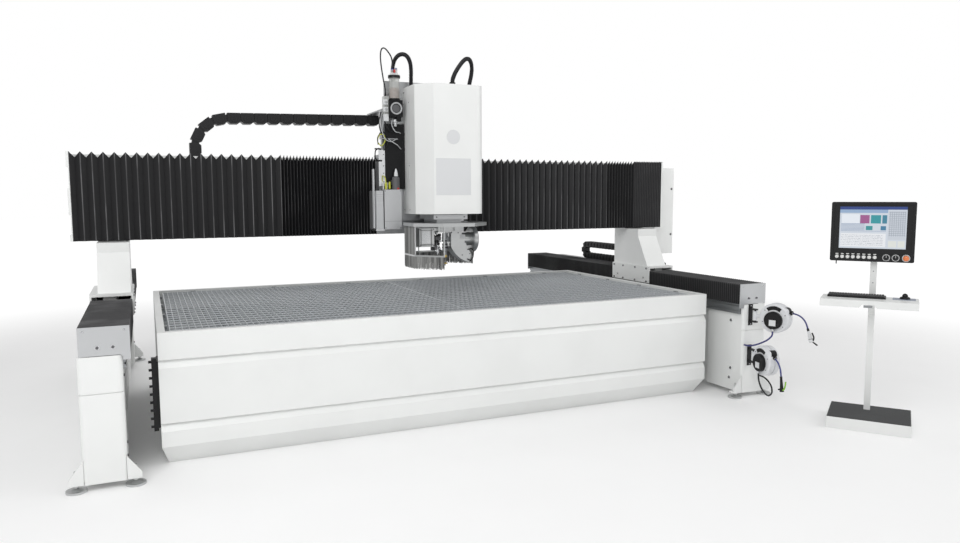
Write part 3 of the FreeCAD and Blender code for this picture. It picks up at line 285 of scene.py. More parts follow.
def turnedPoints(centers, axis, profile, sides):
    # The same turned profile (radius, height rows, closed at both ends) at each centre
    axis, side, up = frameOf(axis)
    profile = np.asarray(profile, float)
    angle = np.linspace(0, 2 * pi, sides, endpoint=False)
    ring = np.cos(angle)[:, None] * side + np.sin(angle)[:, None] * up
    one = profile[:, None, :1] * ring + profile[:, None, 1:] * axis
    centers = np.asarray(centers, float).reshape(-1, 1, 3)
    points = centers + one.reshape(1, -1, 3)
    count = len(profile) * sides
    quads = gridFaces(len(profile), sides, wrapColumns=True)
    faces = quads + count * np.arange(len(centers))[:, None, None]
    return points.reshape(-1, 3), faces.reshape(-1, 4)[:, ::-1]


def addTurned(name, centers, axis, profile, finish, body=None, sides=20, place=None, smooth=False):
    # Profile rows run from the closed bottom to the closed top, where the radius is nought
    points, faces = turnedPoints(centers, axis, profile, sides)
    return addMesh(name, points if place is None else place(points), faces, finish, body, smooth, True)


def disc(radius, height, bevel=0.0005):
    # Profile of a short round piece that stands on its base
    return [(0, 0), (radius, 0), (radius, height - bevel), (radius - bevel, height), (0, height)]


def smoothLine(points, step):
    # Even points along a rounded curve through the given ones
    points = np.asarray(points, float)
    ends = np.vstack([2 * points[0] - points[1], points, 2 * points[-1] - points[-2]])
    t = np.linspace(0, 1, 24, endpoint=False)[:, None]
    a, b, c, d = (ends[k:len(ends) - 3 + k, None] for k in range(4))
    line = 0.5 * (2 * b + (c - a) * t + (2 * a - 5 * b + 4 * c - d) * t ** 2 + (3 * b - a - 3 * c + d)
                  * t ** 3)
    line = np.vstack([line.reshape(-1, 3), points[-1:]])
    along = np.concatenate([[0], np.cumsum(np.linalg.norm(np.diff(line, axis=0), axis=1))])
    count = max(3, int(along[-1] / step))
    even = np.linspace(0, along[-1], count)
    return np.stack([np.interp(even, along, line[:, k]) for k in range(3)], -1)


def tubePoints(line, radius, sides=12):
    # Round tube along a line, radius one number or one per point, closed at both ends
    line = np.asarray(line, float)
    way = np.gradient(line, axis=0)
    way /= np.linalg.norm(way, axis=1, keepdims=True)
    normal = np.cross(way[0], [0.3, 0.2, 0.93])
    normals = []
    for w in way:
        normal = normal - w * np.dot(normal, w)
        normal = normal / np.linalg.norm(normal)
        normals.append(normal)
    normals = np.array(normals)
    other = np.cross(way, normals)
    radius = np.broadcast_to(np.asarray(radius, float), len(line)).copy()
    line = np.vstack([line[:1], line, line[-1:]])
    normals = np.vstack([normals[:1], normals, normals[-1:]])
    other = np.vstack([other[:1], other, other[-1:]])
    radius = np.concatenate([[0], radius, [0]])
    angle = np.linspace(0, 2 * pi, sides, endpoint=False)
    ring = np.cos(angle)[None, :, None] * normals[:, None] + np.sin(angle)[None, :, None] * other[:, None]
    points = line[:, None] + ring * radius[:, None, None]
    return points.reshape(-1, 3), gridFaces(len(line), sides, wrapColumns=True)[:, ::-1]


def addTube(name, points, radius, finish, body=None, step=0.01, sides=12):
    points, faces = tubePoints(smoothLine(points, step), radius, sides)
    return addMesh(name, points, faces, finish, body, True, True)


def joinedMeshes(name, parts, finish, body=None, smooth=False, weld=True):
    # Several point and face sets in one piece
    offset = np.cumsum([0] + [len(p) for p, _ in parts[:-1]])
    points = np.vstack([p for p, _ in parts])
    faces = np.vstack([f + o for (_, f), o in zip(parts, offset)])
    return addMesh(name, points, faces, finish, body, smooth, weld)


consoleSpot = {"place": (2.799, -2.457), "turn": -53.35}


def onConsole(points):
    # From the console's own frame, its front towards minus Y, to the floor plan
    a = radians(consoleSpot["turn"])
    x = consoleSpot["place"][0] + points[:, 0] * cos(a) - points[:, 1] * sin(a)
    y = consoleSpot["place"][1] + points[:, 0] * sin(a) + points[:, 1] * cos(a)
    return np.stack([x, y, points[:, 2]], -1)


reels = {
    "upper": {"body": "upper_reel_swivel", "z": 0.738, "turn": 24.0, "angle": 36.0, "dip": 10.0,
              "drops": (10, 27, 44, 60, 73), "run": 0.036, "hoseColor": (0.03, 0.03, 0.16)},
    "lower": {"body": "lower_reel_swivel", "z": 0.381, "turn": -11.0, "angle": 40.0, "dip": 30.0,
              "drops": (30, 44, 58, 71, 82), "run": 0.032, "hoseColor": (0.03, 0.04, 0.2)},
}
reelPivot = (2.52, -1.517)


def onReel(name, points):
    # From reach, side and height beside a reel's pivot to the row frame
    points = np.atleast_2d(np.asarray(points, float))
    a = radians(reels[name]["turn"])
    x = reelPivot[0] + points[:, 0] * sin(a) + points[:, 1] * cos(a)
    y = reelPivot[1] - points[:, 0] * cos(a) + points[:, 1] * sin(a)
    return np.stack([x, y, reels[name]["z"] + points[:, 2]], -1)


def reelHose(name):
    # Hose from the outlet nose down to its gun: the same points as the solid one
    reel = reels[name]
    a, dip = radians(reel["angle"]), radians(reel["dip"])
    reach, height = 0.18 + 0.105 * cos(a) + 0.058 * cos(dip), 0.105 * sin(a) - 0.058 * sin(dip)
    route = [(reach, 0, height)]
    for drop in reel["drops"]:
        reach += reel["run"] * cos(radians(drop))
        height -= reel["run"] * sin(radians(drop))
        route.append((reach, 0, height))
    return onReel(name, route)


def tangentLine(points, step=0.004):
    # Straight runs joined by tangent arcs, as the solid hoses are made, in points close together
    points = np.asarray(points, float)
    line = [points[0]]
    for i in range(1, len(points) - 1):
        before, after = points[i - 1] - points[i], points[i + 1] - points[i]
        cut = 0.45 * min(np.linalg.norm(before), np.linalg.norm(after))
        u, w = before / np.linalg.norm(before), after / np.linalg.norm(after)
        half = (pi - np.arccos(np.clip(u @ w, -1, 1))) / 2
        radius = cut / tan(half)
        bisector = (u + w) / np.linalg.norm(u + w)
        center = points[i] + bisector * radius / cos(half)
        side = np.cross(np.cross(bisector, u), bisector)
        side /= np.linalg.norm(side)
        angle = np.linspace(half, -half, max(4, int(radius * half * 2 / step)))[:, None]
        line.extend(center - bisector * radius * np.cos(angle) + side * radius * np.sin(angle))
    line.append(points[-1])
    line = np.array(line)
    keep = np.concatenate([[True], np.linalg.norm(np.diff(line, axis=0), axis=1) > 1e-6])
    return line[keep]


sideSkin = {"inner": 2.4025, "width": 0.285, "bottom": 0.834, "top": 1.01, "depth": 0.02, "sheet": 0.004,
            "pitch": 0.0257}
bridgeSkin = {"front": 0.206, "back": 0.258, "bottom": 1.438, "top": 2.139, "drop": 0.045, "depth": 0.024,
              "sheet": 0.004, "end": 2.808, "left": -0.36, "right": 0.5, "hidden": 0.11, "backDrop": 0.05}


def addFolds(name, stations, drawnIn, section, nodeName):
    # Folded skin between two bodies: a ring of the section at each crease
    rings = section(np.asarray(stations)[:, None], np.asarray(drawnIn)[:, None])
    rows, columns = rings.shape[:2]
    faces = gridFaces(rows, columns, wrapColumns=True)
    caps = np.array([[k, k + 1, columns - 2 - k, columns - 1 - k] for k in range(columns // 2 - 1)])
    faces = np.vstack([faces, caps, caps[:, ::-1] + (rows - 1) * columns])
    obj = addMesh(name, rings.reshape(-1, 3), faces, "bellows_cloth")
    mesh = obj.data
    share = np.repeat((np.asarray(drawnIn) > 0).astype(np.float32), columns)
    mesh.attributes.new("fold", "FLOAT", "POINT").data.foreach_set("value", share)
    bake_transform(obj)
    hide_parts(nodeName)
    return obj


def creases(start, spans):
    # Outer and inner creases in turn; a span is a number of folds, their pitch and their depth
    at, stations, drawn = start, [], []
    for count, pitch, drop in spans:
        x = at + pitch / 2 * np.arange(2 * count)
        stations.append(x)
        drawn.append(np.where(np.arange(2 * count) % 2, drop, 0.0))
        at += count * pitch
    return np.append(np.concatenate(stations), at), np.append(np.concatenate(drawn), 0.0)


def sideSection(mirror):
    def section(y, inset):
        s = sideSkin
        x0, x1 = s["inner"] + inset, s["inner"] + s["width"] - inset
        z0, z1, t = s["bottom"] + 0 * inset, s["top"] - inset, s["sheet"]
        points = [(x0, z0), (x0, z1), (x1, z1), (x1, z0), (x1 - t, z0), (x1 - t, z1 - t), (x0 + t, z1 - t),
                  (x0 + t, z0)]
        rings = np.concatenate([np.stack([mirror * x, y + 0 * x, z], -1) for x, z in points], 1)
        return rings if mirror > 0 else rings[:, ::-1]
    return section


def bridgeSection(x, inset):
    s = bridgeSkin
    y0, y1 = s["front"] + inset * s["depth"] / s["drop"], s["back"] + 0 * inset
    z0, z1, t = s["bottom"] + 0 * inset, s["top"] - inset, s["sheet"]
    back = s["top"] - s["backDrop"] + 0 * inset
    points = [(y1, z0), (y0, z0), (y0, z1), (y1, back), (y1, back - t), (y0 + t, z1 - t), (y0 + t, z0 + t),
              (y1, z0 + t)]
    return np.concatenate([np.stack([x + 0 * y, y, z], -1) for y, z in points], 1)[:, ::-1]


def addBellows():
    tracks = {"front": (-1.45, -0.165), "rear": (0.49, 2.51)}
    for side, mirror in (("right", 1), ("left", -1)):
        for part, (y0, y1) in tracks.items():
            count = round((y1 - y0) / sideSkin["pitch"])
            stations, drawn = creases(y0, [(count, (y1 - y0) / count, sideSkin["depth"])])
            addFolds(part + side.capitalize() + "Folds", stations, drawn, sideSection(mirror),
                     part + "_" + side + "_bellows")
    s = bridgeSkin
    wide = (s["left"] - 30 * 0.028 - (-s["end"])) / 20
    stations, drawn = creases(-s["end"], [(20, wide, s["drop"]),
                                          (30 + round(s["hidden"] / 0.028), 0.028, s["drop"])])
    addFolds("leftBridgeFolds", stations, drawn, bridgeSection, "left_bridge_bellows")
    closed = 10 * 0.034 + 16 * 0.02175
    opened = (s["end"] - closed - s["right"]) / 24
    stations, drawn = creases(s["right"] - 2 * opened,
                              [(26, opened, s["drop"]), (10, 0.034, s["drop"]), (16, 0.02175, 0.01)])
    addFolds("rightBridgeFolds", stations, drawn, bridgeSection, "right_bridge_bellows")


def foldShade(parts):
    # Folded cloth: pale outer creases, partly a painted highlight along each crease and partly patchy wear
    tree = parts["tree"]
    fold = addNode(tree, "ShaderNodeAttribute", output="Fac", attribute_name="fold")
    edge = fold.ramp(0.16, 0.0)
    # Pale colour on the outer creases: a steady painted highlight on every crease, plus patchy wear from
    # the broad noise
    creaseHighlightAndWear = edge * parts["broad"].ramp(0.42, 0.62) * 0.5 + edge * 0.3
    parts["color"] = mixColors(tree, creaseHighlightAndWear, parts["color"], (0.2, 0.2, 0.205))
    parts["roughness"] = parts["roughness"] - edge * 0.06


materials["bellows_cloth"] = addMaterial("foldedCloth", finishes["bellows_cloth"], foldShade)
addBellows()
print("bellows done")

grateSize = {"x": 2.17, "y": 1.1235, "top": 0.89, "height": 0.03, "bar": 0.0035, "pitch": 0.0425,
             "rod": 0.006, "rodCount": 20, "band": 0.006}


def addGrate():
    # Bearing bars across the tank, rods along it, and a band round each panel
    g = grateSize
    low, top = g["top"] - g["height"], g["top"]
    boxes = []
    for x0, x1 in ((-g["x"], -0.0015), (0.0015, g["x"])):
        count = round((x1 - x0) / g["pitch"])
        xs = x0 + (x1 - x0) * np.arange(1, count) / count
        boxes += [(x - g["bar"] / 2, x + g["bar"] / 2, -g["y"], g["y"], low, top) for x in xs]
        ys = -g["y"] + 2 * g["y"] * np.arange(1, g["rodCount"] + 1) / (g["rodCount"] + 1)
        boxes += [(x0, x1, y - g["rod"] / 2, y + g["rod"] / 2, top - 0.008, top - 0.001) for y in ys]
        for y in (-g["y"], g["y"] - g["band"]):
            boxes.append((x0, x1, y, y + g["band"], low, top))
        for x in (x0, x1 - g["band"]):
            boxes.append((x, x + g["band"], -g["y"], g["y"], low, top))
    grate = addBoxes("grateBars", boxes, "galvanised", "root")
    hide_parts("grate")
    # Clips that hold the panels to the rim of the tank
    x0, y0 = 2.2, 1.1535
    clips = [(s * x0 - 0.02 if s > 0 else s * x0, s * x0 if s > 0 else s * x0 + 0.02, y - 0.02, y + 0.02,
              0.868, 0.893)
             for s in (-1, 1) for y in (-0.85, -0.28, 0.28, 0.85)]
    clips += [(x - 0.02, x + 0.02, s * y0 - 0.018 if s > 0 else s * y0, s * y0 if s > 0 else s * y0 + 0.018,
               0.868, 0.893)
              for s in (-1, 1) for x in (-1.9, -1.15, -0.4, 0.4, 1.15, 1.9)]
    addBoxes("grateClips", clips, "tool_steel", "root")


def waterShade(parts):
    tree = parts["tree"]
    ripple = addNode(tree, "ShaderNodeTexNoise", {"Vector": parts["place"], "Scale": 7.0, "Detail": 4.0},
                     "Fac")
    parts["height"] = ripple
    parts["color"] = mixColors(tree, ripple.ramp(0.4, 0.65), (0.2, 0.22, 0.23), (0.34, 0.36, 0.37))


def addWater():
    look = {"color": (0.12, 0.135, 0.14), "roughness": 0.22, "bump": 0.5, "bumpDepth": 0.01}
    water = addMaterial("water", look, waterShade)
    addBoxes("water", [(-2.199, 2.199, -1.152, 1.152, 0.6, 0.735)], water, "root")


addGrate()
addWater()
print("tank top done")


chains = {
    "cross": {"axis": "x", "origin": -1.597, "z": 2.191, "outer": 0.318, "height": 0.094, "top": 1.367,
              "bottom": 1.7, "rise": 0.03, "pitch": 0.1139, "middle": 0.555, "half": 0.055, "disc": 0.033,
              "body": "gantry"},
    "long": {"axis": "y", "origin": 1.59, "z": 1.105, "outer": 0.105, "height": 0.071, "top": 1.01,
             "bottom": 1.5, "rise": 0.0, "pitch": 0.067, "middle": 2.776, "half": 0.038, "disc": 0.024,
             "body": "root"},
}
linkGap = 0.007


def chainSpots(chain):
    # Middles of the links, along and up: top run, half turn, bottom run
    outer, pitch, run = chain["outer"], chain["pitch"], chain["top"]
    middle = outer - chain["height"] / 2
    climb = np.array([run, chain["rise"]]) / np.hypot(run, chain["rise"])
    top = np.array([0, middle]) + climb * (pitch * (np.arange(int(run / pitch)) + 0.5))[:, None]
    turns = max(3, round(pi * middle / pitch))
    a = pi * (np.arange(turns) + 0.5) / turns
    inward = np.hypot(outer, (pitch - linkGap) / 2) - outer
    arc = np.stack([-np.sin(a), np.cos(a)], -1) * (middle - inward)
    along = pitch * (np.arange(int(chain["bottom"] / pitch)) + 0.5)
    bottom = np.stack([along, np.full(len(along), -middle)], -1)
    return np.vstack([top, arc, bottom]) + [0, chain["z"]]


def onChain(chain, points):
    # From along, across and height of a chain that runs along X or along minus Y
    along, across, height = points.T
    if chain["axis"] == "x":
        return np.stack([along + chain["origin"], across, height], -1)
    return np.stack([across, chain["origin"] - along, height], -1)


def addChains():
    # Round boss and pin on both sides of every link
    for name, chain in chains.items():
        spots = chainSpots(chain)
        parts = []
        for side in (-1, 1):
            across = np.full(len(spots), chain["middle"] + side * chain["half"])
            centers = np.stack([spots[:, 0], across, spots[:, 1]], -1)
            for profile in (disc(chain["disc"], 0.0035, 0.001), disc(chain["disc"] * 0.35, 0.0055, 0.001)):
                points, cells = turnedPoints(centers, (0.0, side, 0.0), profile, 18)
                parts.append((onChain(chain, points), cells))
        joinedMeshes(name + "ChainBosses", parts, "black_plastic", chain["body"])


addChains()
print("chains done")


def addHoses():
    colored = {}
    for name, reel in reels.items():
        look = {"color": reel["hoseColor"], "roughness": 0.35, "stain": 0.3, "coat": 0.2}
        colored[name] = addMaterial(name + "HoseFinish", look)
        points = reelHose(name)
        curve = bpy.data.curves.new(name + "Hose", "CURVE")
        curve.dimensions = "3D"
        spline = curve.splines.new("NURBS")
        spline.points.add(len(points) - 1)
        spline.points.foreach_set("co", np.hstack([points, np.ones((len(points), 1))]).ravel())
        spline.order_u = 3
        spline.use_endpoint_u = True
        spline.resolution_u = 12
        curve.bevel_depth = 0.0065
        curve.bevel_resolution = 4
        curve.use_fill_caps = True
        curve.materials.append(colored[name])
        hose = bpy.data.objects.new(name + "Hose", curve)
        bpy.context.scene.collection.objects.link(hose)
        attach(hose, reel["body"])
        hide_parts(name + "_hose")
        line = tangentLine(points)
    return colored


hoseFinish = addHoses()
feedHoses = {
    "upper": {"drops": [(0, 0, 0), (0, 0, -40), (-14, 36, -82), (-34, 88, -116), (-56, 146, -144)],
              "lastX": -66, "lastZ": -158, "lastRun": 48},
    "lower": {"drops": [(0, 0, 0), (2, -3, -62), (22, -10, -122), (62, -12, -178), (116, -6, -214),
                        (176, 12, -200), (212, 54, -156), (224, 108, -116), (226, 168, -92)], "lastX": 226,
              "lastZ": -92, "lastRun": 0},
}


def addFeedHoses():
    # Supply hoses from the hub caps to the leg
    face = -1.456
    for name, feed in feedHoses.items():
        start = onReel(name, (0.18, -0.0695, -0.105))[0]
        points = [start + np.array(d) / 1000 for d in feed["drops"]]
        x, z = start[0] + feed["lastX"] / 1000, start[2] + feed["lastZ"] / 1000
        if feed["lastRun"]:
            points.append(np.array([x, face - feed["lastRun"] / 1000, z]))
        points.append(np.array([x, face, z]))
        line = tangentLine(points)
        mesh, faces = tubePoints(line, 0.007, 14)
        hose = addMesh(name + "Feed", mesh, faces,
                       hoseFinish["upper"] if name == "upper" else "hose_rubber", None, True, True)
        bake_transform(hose)
        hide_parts(name + "_feed_hose")
        line[::3].tolist() + [line[-1].tolist()]


addFeedHoses()
print("hoses done")


def archPoints(start, heading, route, top, last=None):
    heading = np.array([*heading, 0.0]) / np.linalg.norm(heading)
    points = [np.array([*start, top]) + heading * t / 1000 + np.array([0, 0, h / 1000]) for t, h in route]
    if last is not None:
        points.append(np.array([points[-1][0], points[-1][1], last]))
    return tangentLine(points, 0.008)


conduits = {
    "right": {"start": (0.2, -0.275), "heading": (0.22, 0.175), "last": None,
              "route": [(0, 0), (4, 48), (48, 108), (112, 168), (180, 222), (250, 262), (312, 268),
                        (352, 236), (362, 186), (346, 122), (316, 60), (298, 0)]},
    "left": {"start": (-0.066, 0.05), "heading": (-0.11, 0.19), "last": 2.557,
             "route": [(0, 0), (0, 76), (-3, 152), (4, 219), (32, 276), (81, 308), (140, 308), (189, 276),
                       (216, 219), (220, 152), (217, 76), (219, 0), (217, -60), (218, -120)]},
}
thinHose = [(0, 0), (3, 40), (3, 81), (-10, 118), (-33, 148), (-56, 172), (-76, 181), (-94, 170),
            (-103, 138), (-105, 95), (-102, 50), (-96, 0), (-88, -52), (-80, -101), (-70, -145)]


def addConduits():
    parts = []
    for c in conduits.values():
        line = archPoints(c["start"], c["heading"], c["route"], 2.74, c["last"])
        line = smoothLine(line, 0.0014)
        along = np.concatenate([[0], np.cumsum(np.linalg.norm(np.diff(line, axis=0), axis=1))])
        swell = np.clip(np.cos(2 * pi * along / 0.0085) * 1.7, -1, 1)
        parts.append(tubePoints(line, 0.0172 + 0.0018 * swell, 18))
    body = joinedMeshes("corrugatedConduits", parts, "hose_rubber", "carriage", True)
    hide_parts("head_conduits")
    x, y, z = -0.246, 0.035, 2.89
    route = [np.array([x + u / 1000, y - 0.005 if u < -50 else y + u / 10000, z + h / 1000])
             for u, h in thinHose]
    route += [np.array([-0.31, y - 0.005, 2.699]), np.array([-0.31, y - 0.005, 2.655])]
    addMesh("thinAirHose", *tubePoints(tangentLine(route), 0.006, 12), "hose_rubber", "carriage", True,
            True)
    collars = [(0.2, -0.275, 2.74), (0.4294, -0.0926, 2.74), (-0.066, 0.05, 2.74)]
    addTurned("conduitCollars", collars, (0, 0, 1), disc(0.027, 0.022, 0.003), "black_plastic", "carriage",
              24)


addConduits()
print("conduits done")


screenPanes = [
    # Left, right, bottom and top as shares of the picture, and a colour
    ((0.00, 0.72, 0.85, 0.93), (0.3, 0.42, 0.6)),
    ((0.03, 0.3, 0.6, 0.82), (0.78, 0.82, 0.88)),
    ((0.31, 0.45, 0.6, 0.8), (0.34, 0.1, 0.26)),
    ((0.47, 0.62, 0.6, 0.8), (0.03, 0.3, 0.34)),
    ((0.64, 0.71, 0.6, 0.8), (0.05, 0.22, 0.32)),
    ((0.4, 0.5, 0.44, 0.54), (0.04, 0.28, 0.3)),
    ((0.62, 0.7, 0.44, 0.54), (0.05, 0.2, 0.34)),
]


def screenShade(parts):
    # Made-up control picture: dark title bar, colour panes, a table of rows and a key field
    tree = parts["tree"]
    spot = addNode(tree, "ShaderNodeAttribute", output="Vector", attribute_name="screen")
    u, v = (addNode(tree, "ShaderNodeSeparateXYZ", [spot], axis) for axis in (0, 1))

    def pane(u0, u1, v0, v1):
        return u.above(u0) * u.below(u1) * v.above(v0) * v.below(v1)

    def lines(value, count, share):
        return (value * count).math("FRACT").below(share)

    color = mixColors(tree, pane(0, 1, 0.93, 1), (0.62, 0.67, 0.74), (0.02, 0.05, 0.22))
    for edges, paneColor in screenPanes:
        color = mixColors(tree, pane(*edges), color, paneColor)
    rows = pane(0.02, 0.7, 0.4, 0.6) * lines(v, 34.0, 0.35) * (1.0 - pane(0.38, 0.72, 0.42, 0.6))
    color = mixColors(tree, rows * 0.8, color, (0.16, 0.24, 0.4))
    color = mixColors(tree, pane(0.02, 0.7, 0.04, 0.36), color, (0.8, 0.82, 0.85))
    speckle = addNode(tree, "ShaderNodeTexNoise", {"Vector": spot, "Scale": 70.0, "Detail": 1.0}, "Fac")
    text = pane(0.03, 0.66, 0.06, 0.34) * lines(v, 26.0, 0.4) * speckle.above(0.5)
    color = mixColors(tree, text * 0.7, color, (0.25, 0.28, 0.34))
    color = mixColors(tree, pane(0.73, 0.99, 0.22, 0.9), color, (0.56, 0.6, 0.66))
    keys = pane(0.74, 0.98, 0.3, 0.88) * (lines(u, 32.0, 0.18).math("MAXIMUM", lines(v, 22.0, 0.2)))
    color = mixColors(tree, keys, color, (0.3, 0.34, 0.4))
    color = mixColors(tree, pane(0.74, 0.86, 0.04, 0.19) + pane(0.88, 0.98, 0.04, 0.19), color,
                      (0.72, 0.74, 0.7))
    parts["color"] = mixColors(tree, 0.9, color, (0.01, 0.01, 0.01))
    parts["glow"] = color


def addConsole():
    mat = {"color": (0.035, 0.037, 0.038), "roughness": 0.6, "grain": 220.0, "bump": 0.5,
           "bumpDepth": 0.002}
    matFinish = addMaterial("standingMat", mat)
    addBoxes("consoleMat", [(-0.283, 0.283, -0.232, 0.232, 0.0872, 0.0905)], matFinish, "root", onConsole)
    look = {"color": (0.02, 0.02, 0.02), "roughness": 0.15, "glow": 0.85, "bump": 0.0}
    glass = addMaterial("screenPicture", look, screenShade)
    x0, x1, z0, z1 = -0.268, 0.188, 1.37, 1.69
    points = np.array([(x0, 0.0245, z0), (x1, 0.0245, z0), (x1, 0.0245, z1), (x0, 0.0245, z1),
                       (x0, 0.0262, z0), (x1, 0.0262, z0), (x1, 0.0262, z1), (x0, 0.0262, z1)])
    faces = np.array([(0, 1, 2, 3), (7, 6, 5, 4), (0, 4, 5, 1), (1, 5, 6, 2), (2, 6, 7, 3), (3, 7, 4, 0)])
    screen = addMesh("screen", onConsole(points), faces, glass, "root")
    spread = np.tile([(0, 0, 0), (1, 0, 0), (1, 1, 0), (0, 1, 0)], (2, 1)).astype(np.float32)
    screen.data.attributes.new("screen", "FLOAT_VECTOR", "POINT").data.foreach_set("vector", spread.ravel())
    row = [-0.04 - 0.238 + 0.0375 * k for k in range(8)]
    forward = (0, -1, 0)
    white = addMaterial("keyWhite", {"color": (0.72, 0.72, 0.7), "roughness": 0.4})
    silver = addMaterial("buttonRing", {"color": (0.5, 0.5, 0.5), "roughness": 0.25, "metallic": 0.9})
    orange = addMaterial("stopOrange", {"color": (0.75, 0.2, 0.06), "roughness": 0.35, "coat": 0.3})
    spots = [(x, 0.02, 1.303) for x in row]
    addTurned("buttonRings", spots, forward, disc(0.0145, 0.004, 0.001), silver, "root", 24, onConsole)
    addTurned("buttonCaps", [(x, 0.0162, z) for x, _, z in spots], forward, disc(0.0112, 0.004, 0.0012),
              white, "root", 24, onConsole)
    addBoxes("buttonTags", [(x - 0.01, x + 0.01, 0.0188, 0.0202, 1.3225, 1.3285) for x in row], white,
             "root", onConsole)
    knobs = [(0.062, 0.02, 1.303), (0.125, 0.02, 1.303)]
    addTurned("dialPlates", knobs, forward, disc(0.0265, 0.002, 0.0008), silver, "root", 32, onConsole)
    addTurned("dialKnobs", [(x, 0.0182, z) for x, _, z in knobs], forward, disc(0.02, 0.018, 0.003),
              "black_plastic", "root", 24, onConsole)
    addBoxes("dialMarks", [(x - 0.0012, x + 0.0012, -0.0006, 0.0004, 1.303, 1.321) for x, _, _ in knobs],
             white, "root", onConsole)
    stop = [(0.194, 0.02, 1.303)]
    addTurned("stopPlate", stop, forward, disc(0.028, 0.003, 0.001), silver, "root", 32, onConsole)
    cap = [(0, 0), (0.012, 0), (0.012, 0.01), (0.0205, 0.014), (0.0205, 0.021), (0.016, 0.0265),
           (0.008, 0.0285), (0, 0.029)]
    addTurned("stopButton", [(0.194, 0.0172, 1.303)], forward, cap, orange, "root", 32, onConsole, True)
    addTurned("monitorStub", [(-0.283, 0.052, 1.269)], (0, 0, -1),
              [(0, 0), (0.004, 0), (0.004, 0.026), (0, 0.028)], "black_plastic", "root", 12, onConsole)
    bolt = [(-0.021, 0.089, 1.1), (-0.021, 0.089, 1.19)]
    addTurned("postScrews", bolt, forward, disc(0.0045, 0.0022), "tool_steel", "root", 10, onConsole)
    addBoxes("keyboardBody", [(-0.327, 0.075, -0.07, 0.062, 0.9938, 1.008)], "black_plastic", "root",
             onConsole)
    caps = []
    for k in range(6):
        y = -0.064 + k * 0.0205
        count, width = (21, 0.0184) if k else (13, 0.0297)
        caps += [(-0.322 + i * width, -0.322 + (i + 1) * width - 0.0028, y, y + 0.0175, 1.0075,
                  1.0125 + 0.0009 * k)
                 for i in range(count)]
    keyDark = addMaterial("keyDark", {"color": (0.028, 0.028, 0.03), "roughness": 0.5})
    addBoxes("keyboardKeys", caps, keyDark, "root", onConsole)
    plate = addMaterial("trackPlate", {"color": (0.26, 0.29, 0.36), "roughness": 0.35})
    addBoxes("trackPlate", [(0.12, 0.272, -0.055, 0.062, 0.9938, 0.9965)], plate, "root", onConsole)
    base = [(0, 0), (0.034, 0), (0.036, 0.004), (0.034, 0.012), (0.022, 0.017), (0, 0.017)]
    addTurned("trackBase", [(0.201, 0.015, 0.9965)], (0, 0, 1), base, "black_plastic", "root", 28,
              onConsole, True)
    t = np.linspace(-pi / 2 + 0.05, pi / 2 - 0.001, 12)
    ball = [(max(0, 0.02 * cos(a)), 0.02 * sin(a)) for a in t]
    addTurned("trackBall", [(0.201, 0.015, 1.018)], (0, 0, 1), ball, "dark_housing", "root", 28, onConsole,
              True)
    addBoxes("trayCatch", [(-0.037 - 0.03, -0.037 + 0.03, -0.2135, -0.2095, 0.941, 0.96)], "tool_steel",
             "root", onConsole)


addConsole()
print("console done")


def ringPoints(centers, axis, inner, outer, low, high, sides=32):
    # Flat ring with a hole, as a closed loop of four corners turned round the axis
    points, _ = turnedPoints(centers, axis, [(inner, low), (outer, low), (outer, high), (inner, high)],
                             sides)
    quads = gridFaces(4, sides, True, True)
    cells = quads + 4 * sides * np.arange(len(np.atleast_2d(centers)))[:, None, None]
    return points, cells.reshape(-1, 4)


paints = {
    "pureBlack": {"color": (0.004, 0.004, 0.005), "roughness": 0.4, "specular": 0.3},
    "barePlate": {"color": (0.66, 0.67, 0.68), "roughness": 0.35, "stain": 0.2},
    "silver": {"color": (0.62, 0.63, 0.64), "roughness": 0.25, "metallic": 0.9},
    "leverGreen": {"color": (0.24, 0.52, 0.04), "roughness": 0.35, "coat": 0.3},
    "fittingBlue": {"color": (0.02, 0.03, 0.32), "roughness": 0.35, "coat": 0.2},
    "fittingRed": {"color": (0.5, 0.02, 0.02), "roughness": 0.35, "coat": 0.2},
    "cableYellow": {"color": (0.5, 0.52, 0.05), "roughness": 0.4},
    "cableGreen": {"color": (0.04, 0.22, 0.08), "roughness": 0.45},
    "cableOrange": {"color": (0.6, 0.16, 0.02), "roughness": 0.45},
    "cableGrey": {"color": (0.45, 0.46, 0.47), "roughness": 0.5},
    "garnet": {"color": (0.26, 0.13, 0.09), "roughness": 0.85, "grain": 400.0, "bump": 0.6,
               "bumpDepth": 0.002},
    "bristle": {"color": (0.46, 0.46, 0.45), "stainColor": (0.05, 0.05, 0.05), "stain": 0.9,
                "roughness": 0.7, "stretch": (1.0, 1.0, 0.02), "broad": 60.0, "grain": 300.0},
    "brass": {"color": (0.62, 0.46, 0.16), "roughness": 0.35, "metallic": 0.85},
    "sealGrey": {"color": (0.1, 0.1, 0.105), "roughness": 0.55},
}
for name, look in paints.items():
    materials[name] = addMaterial(name, look)


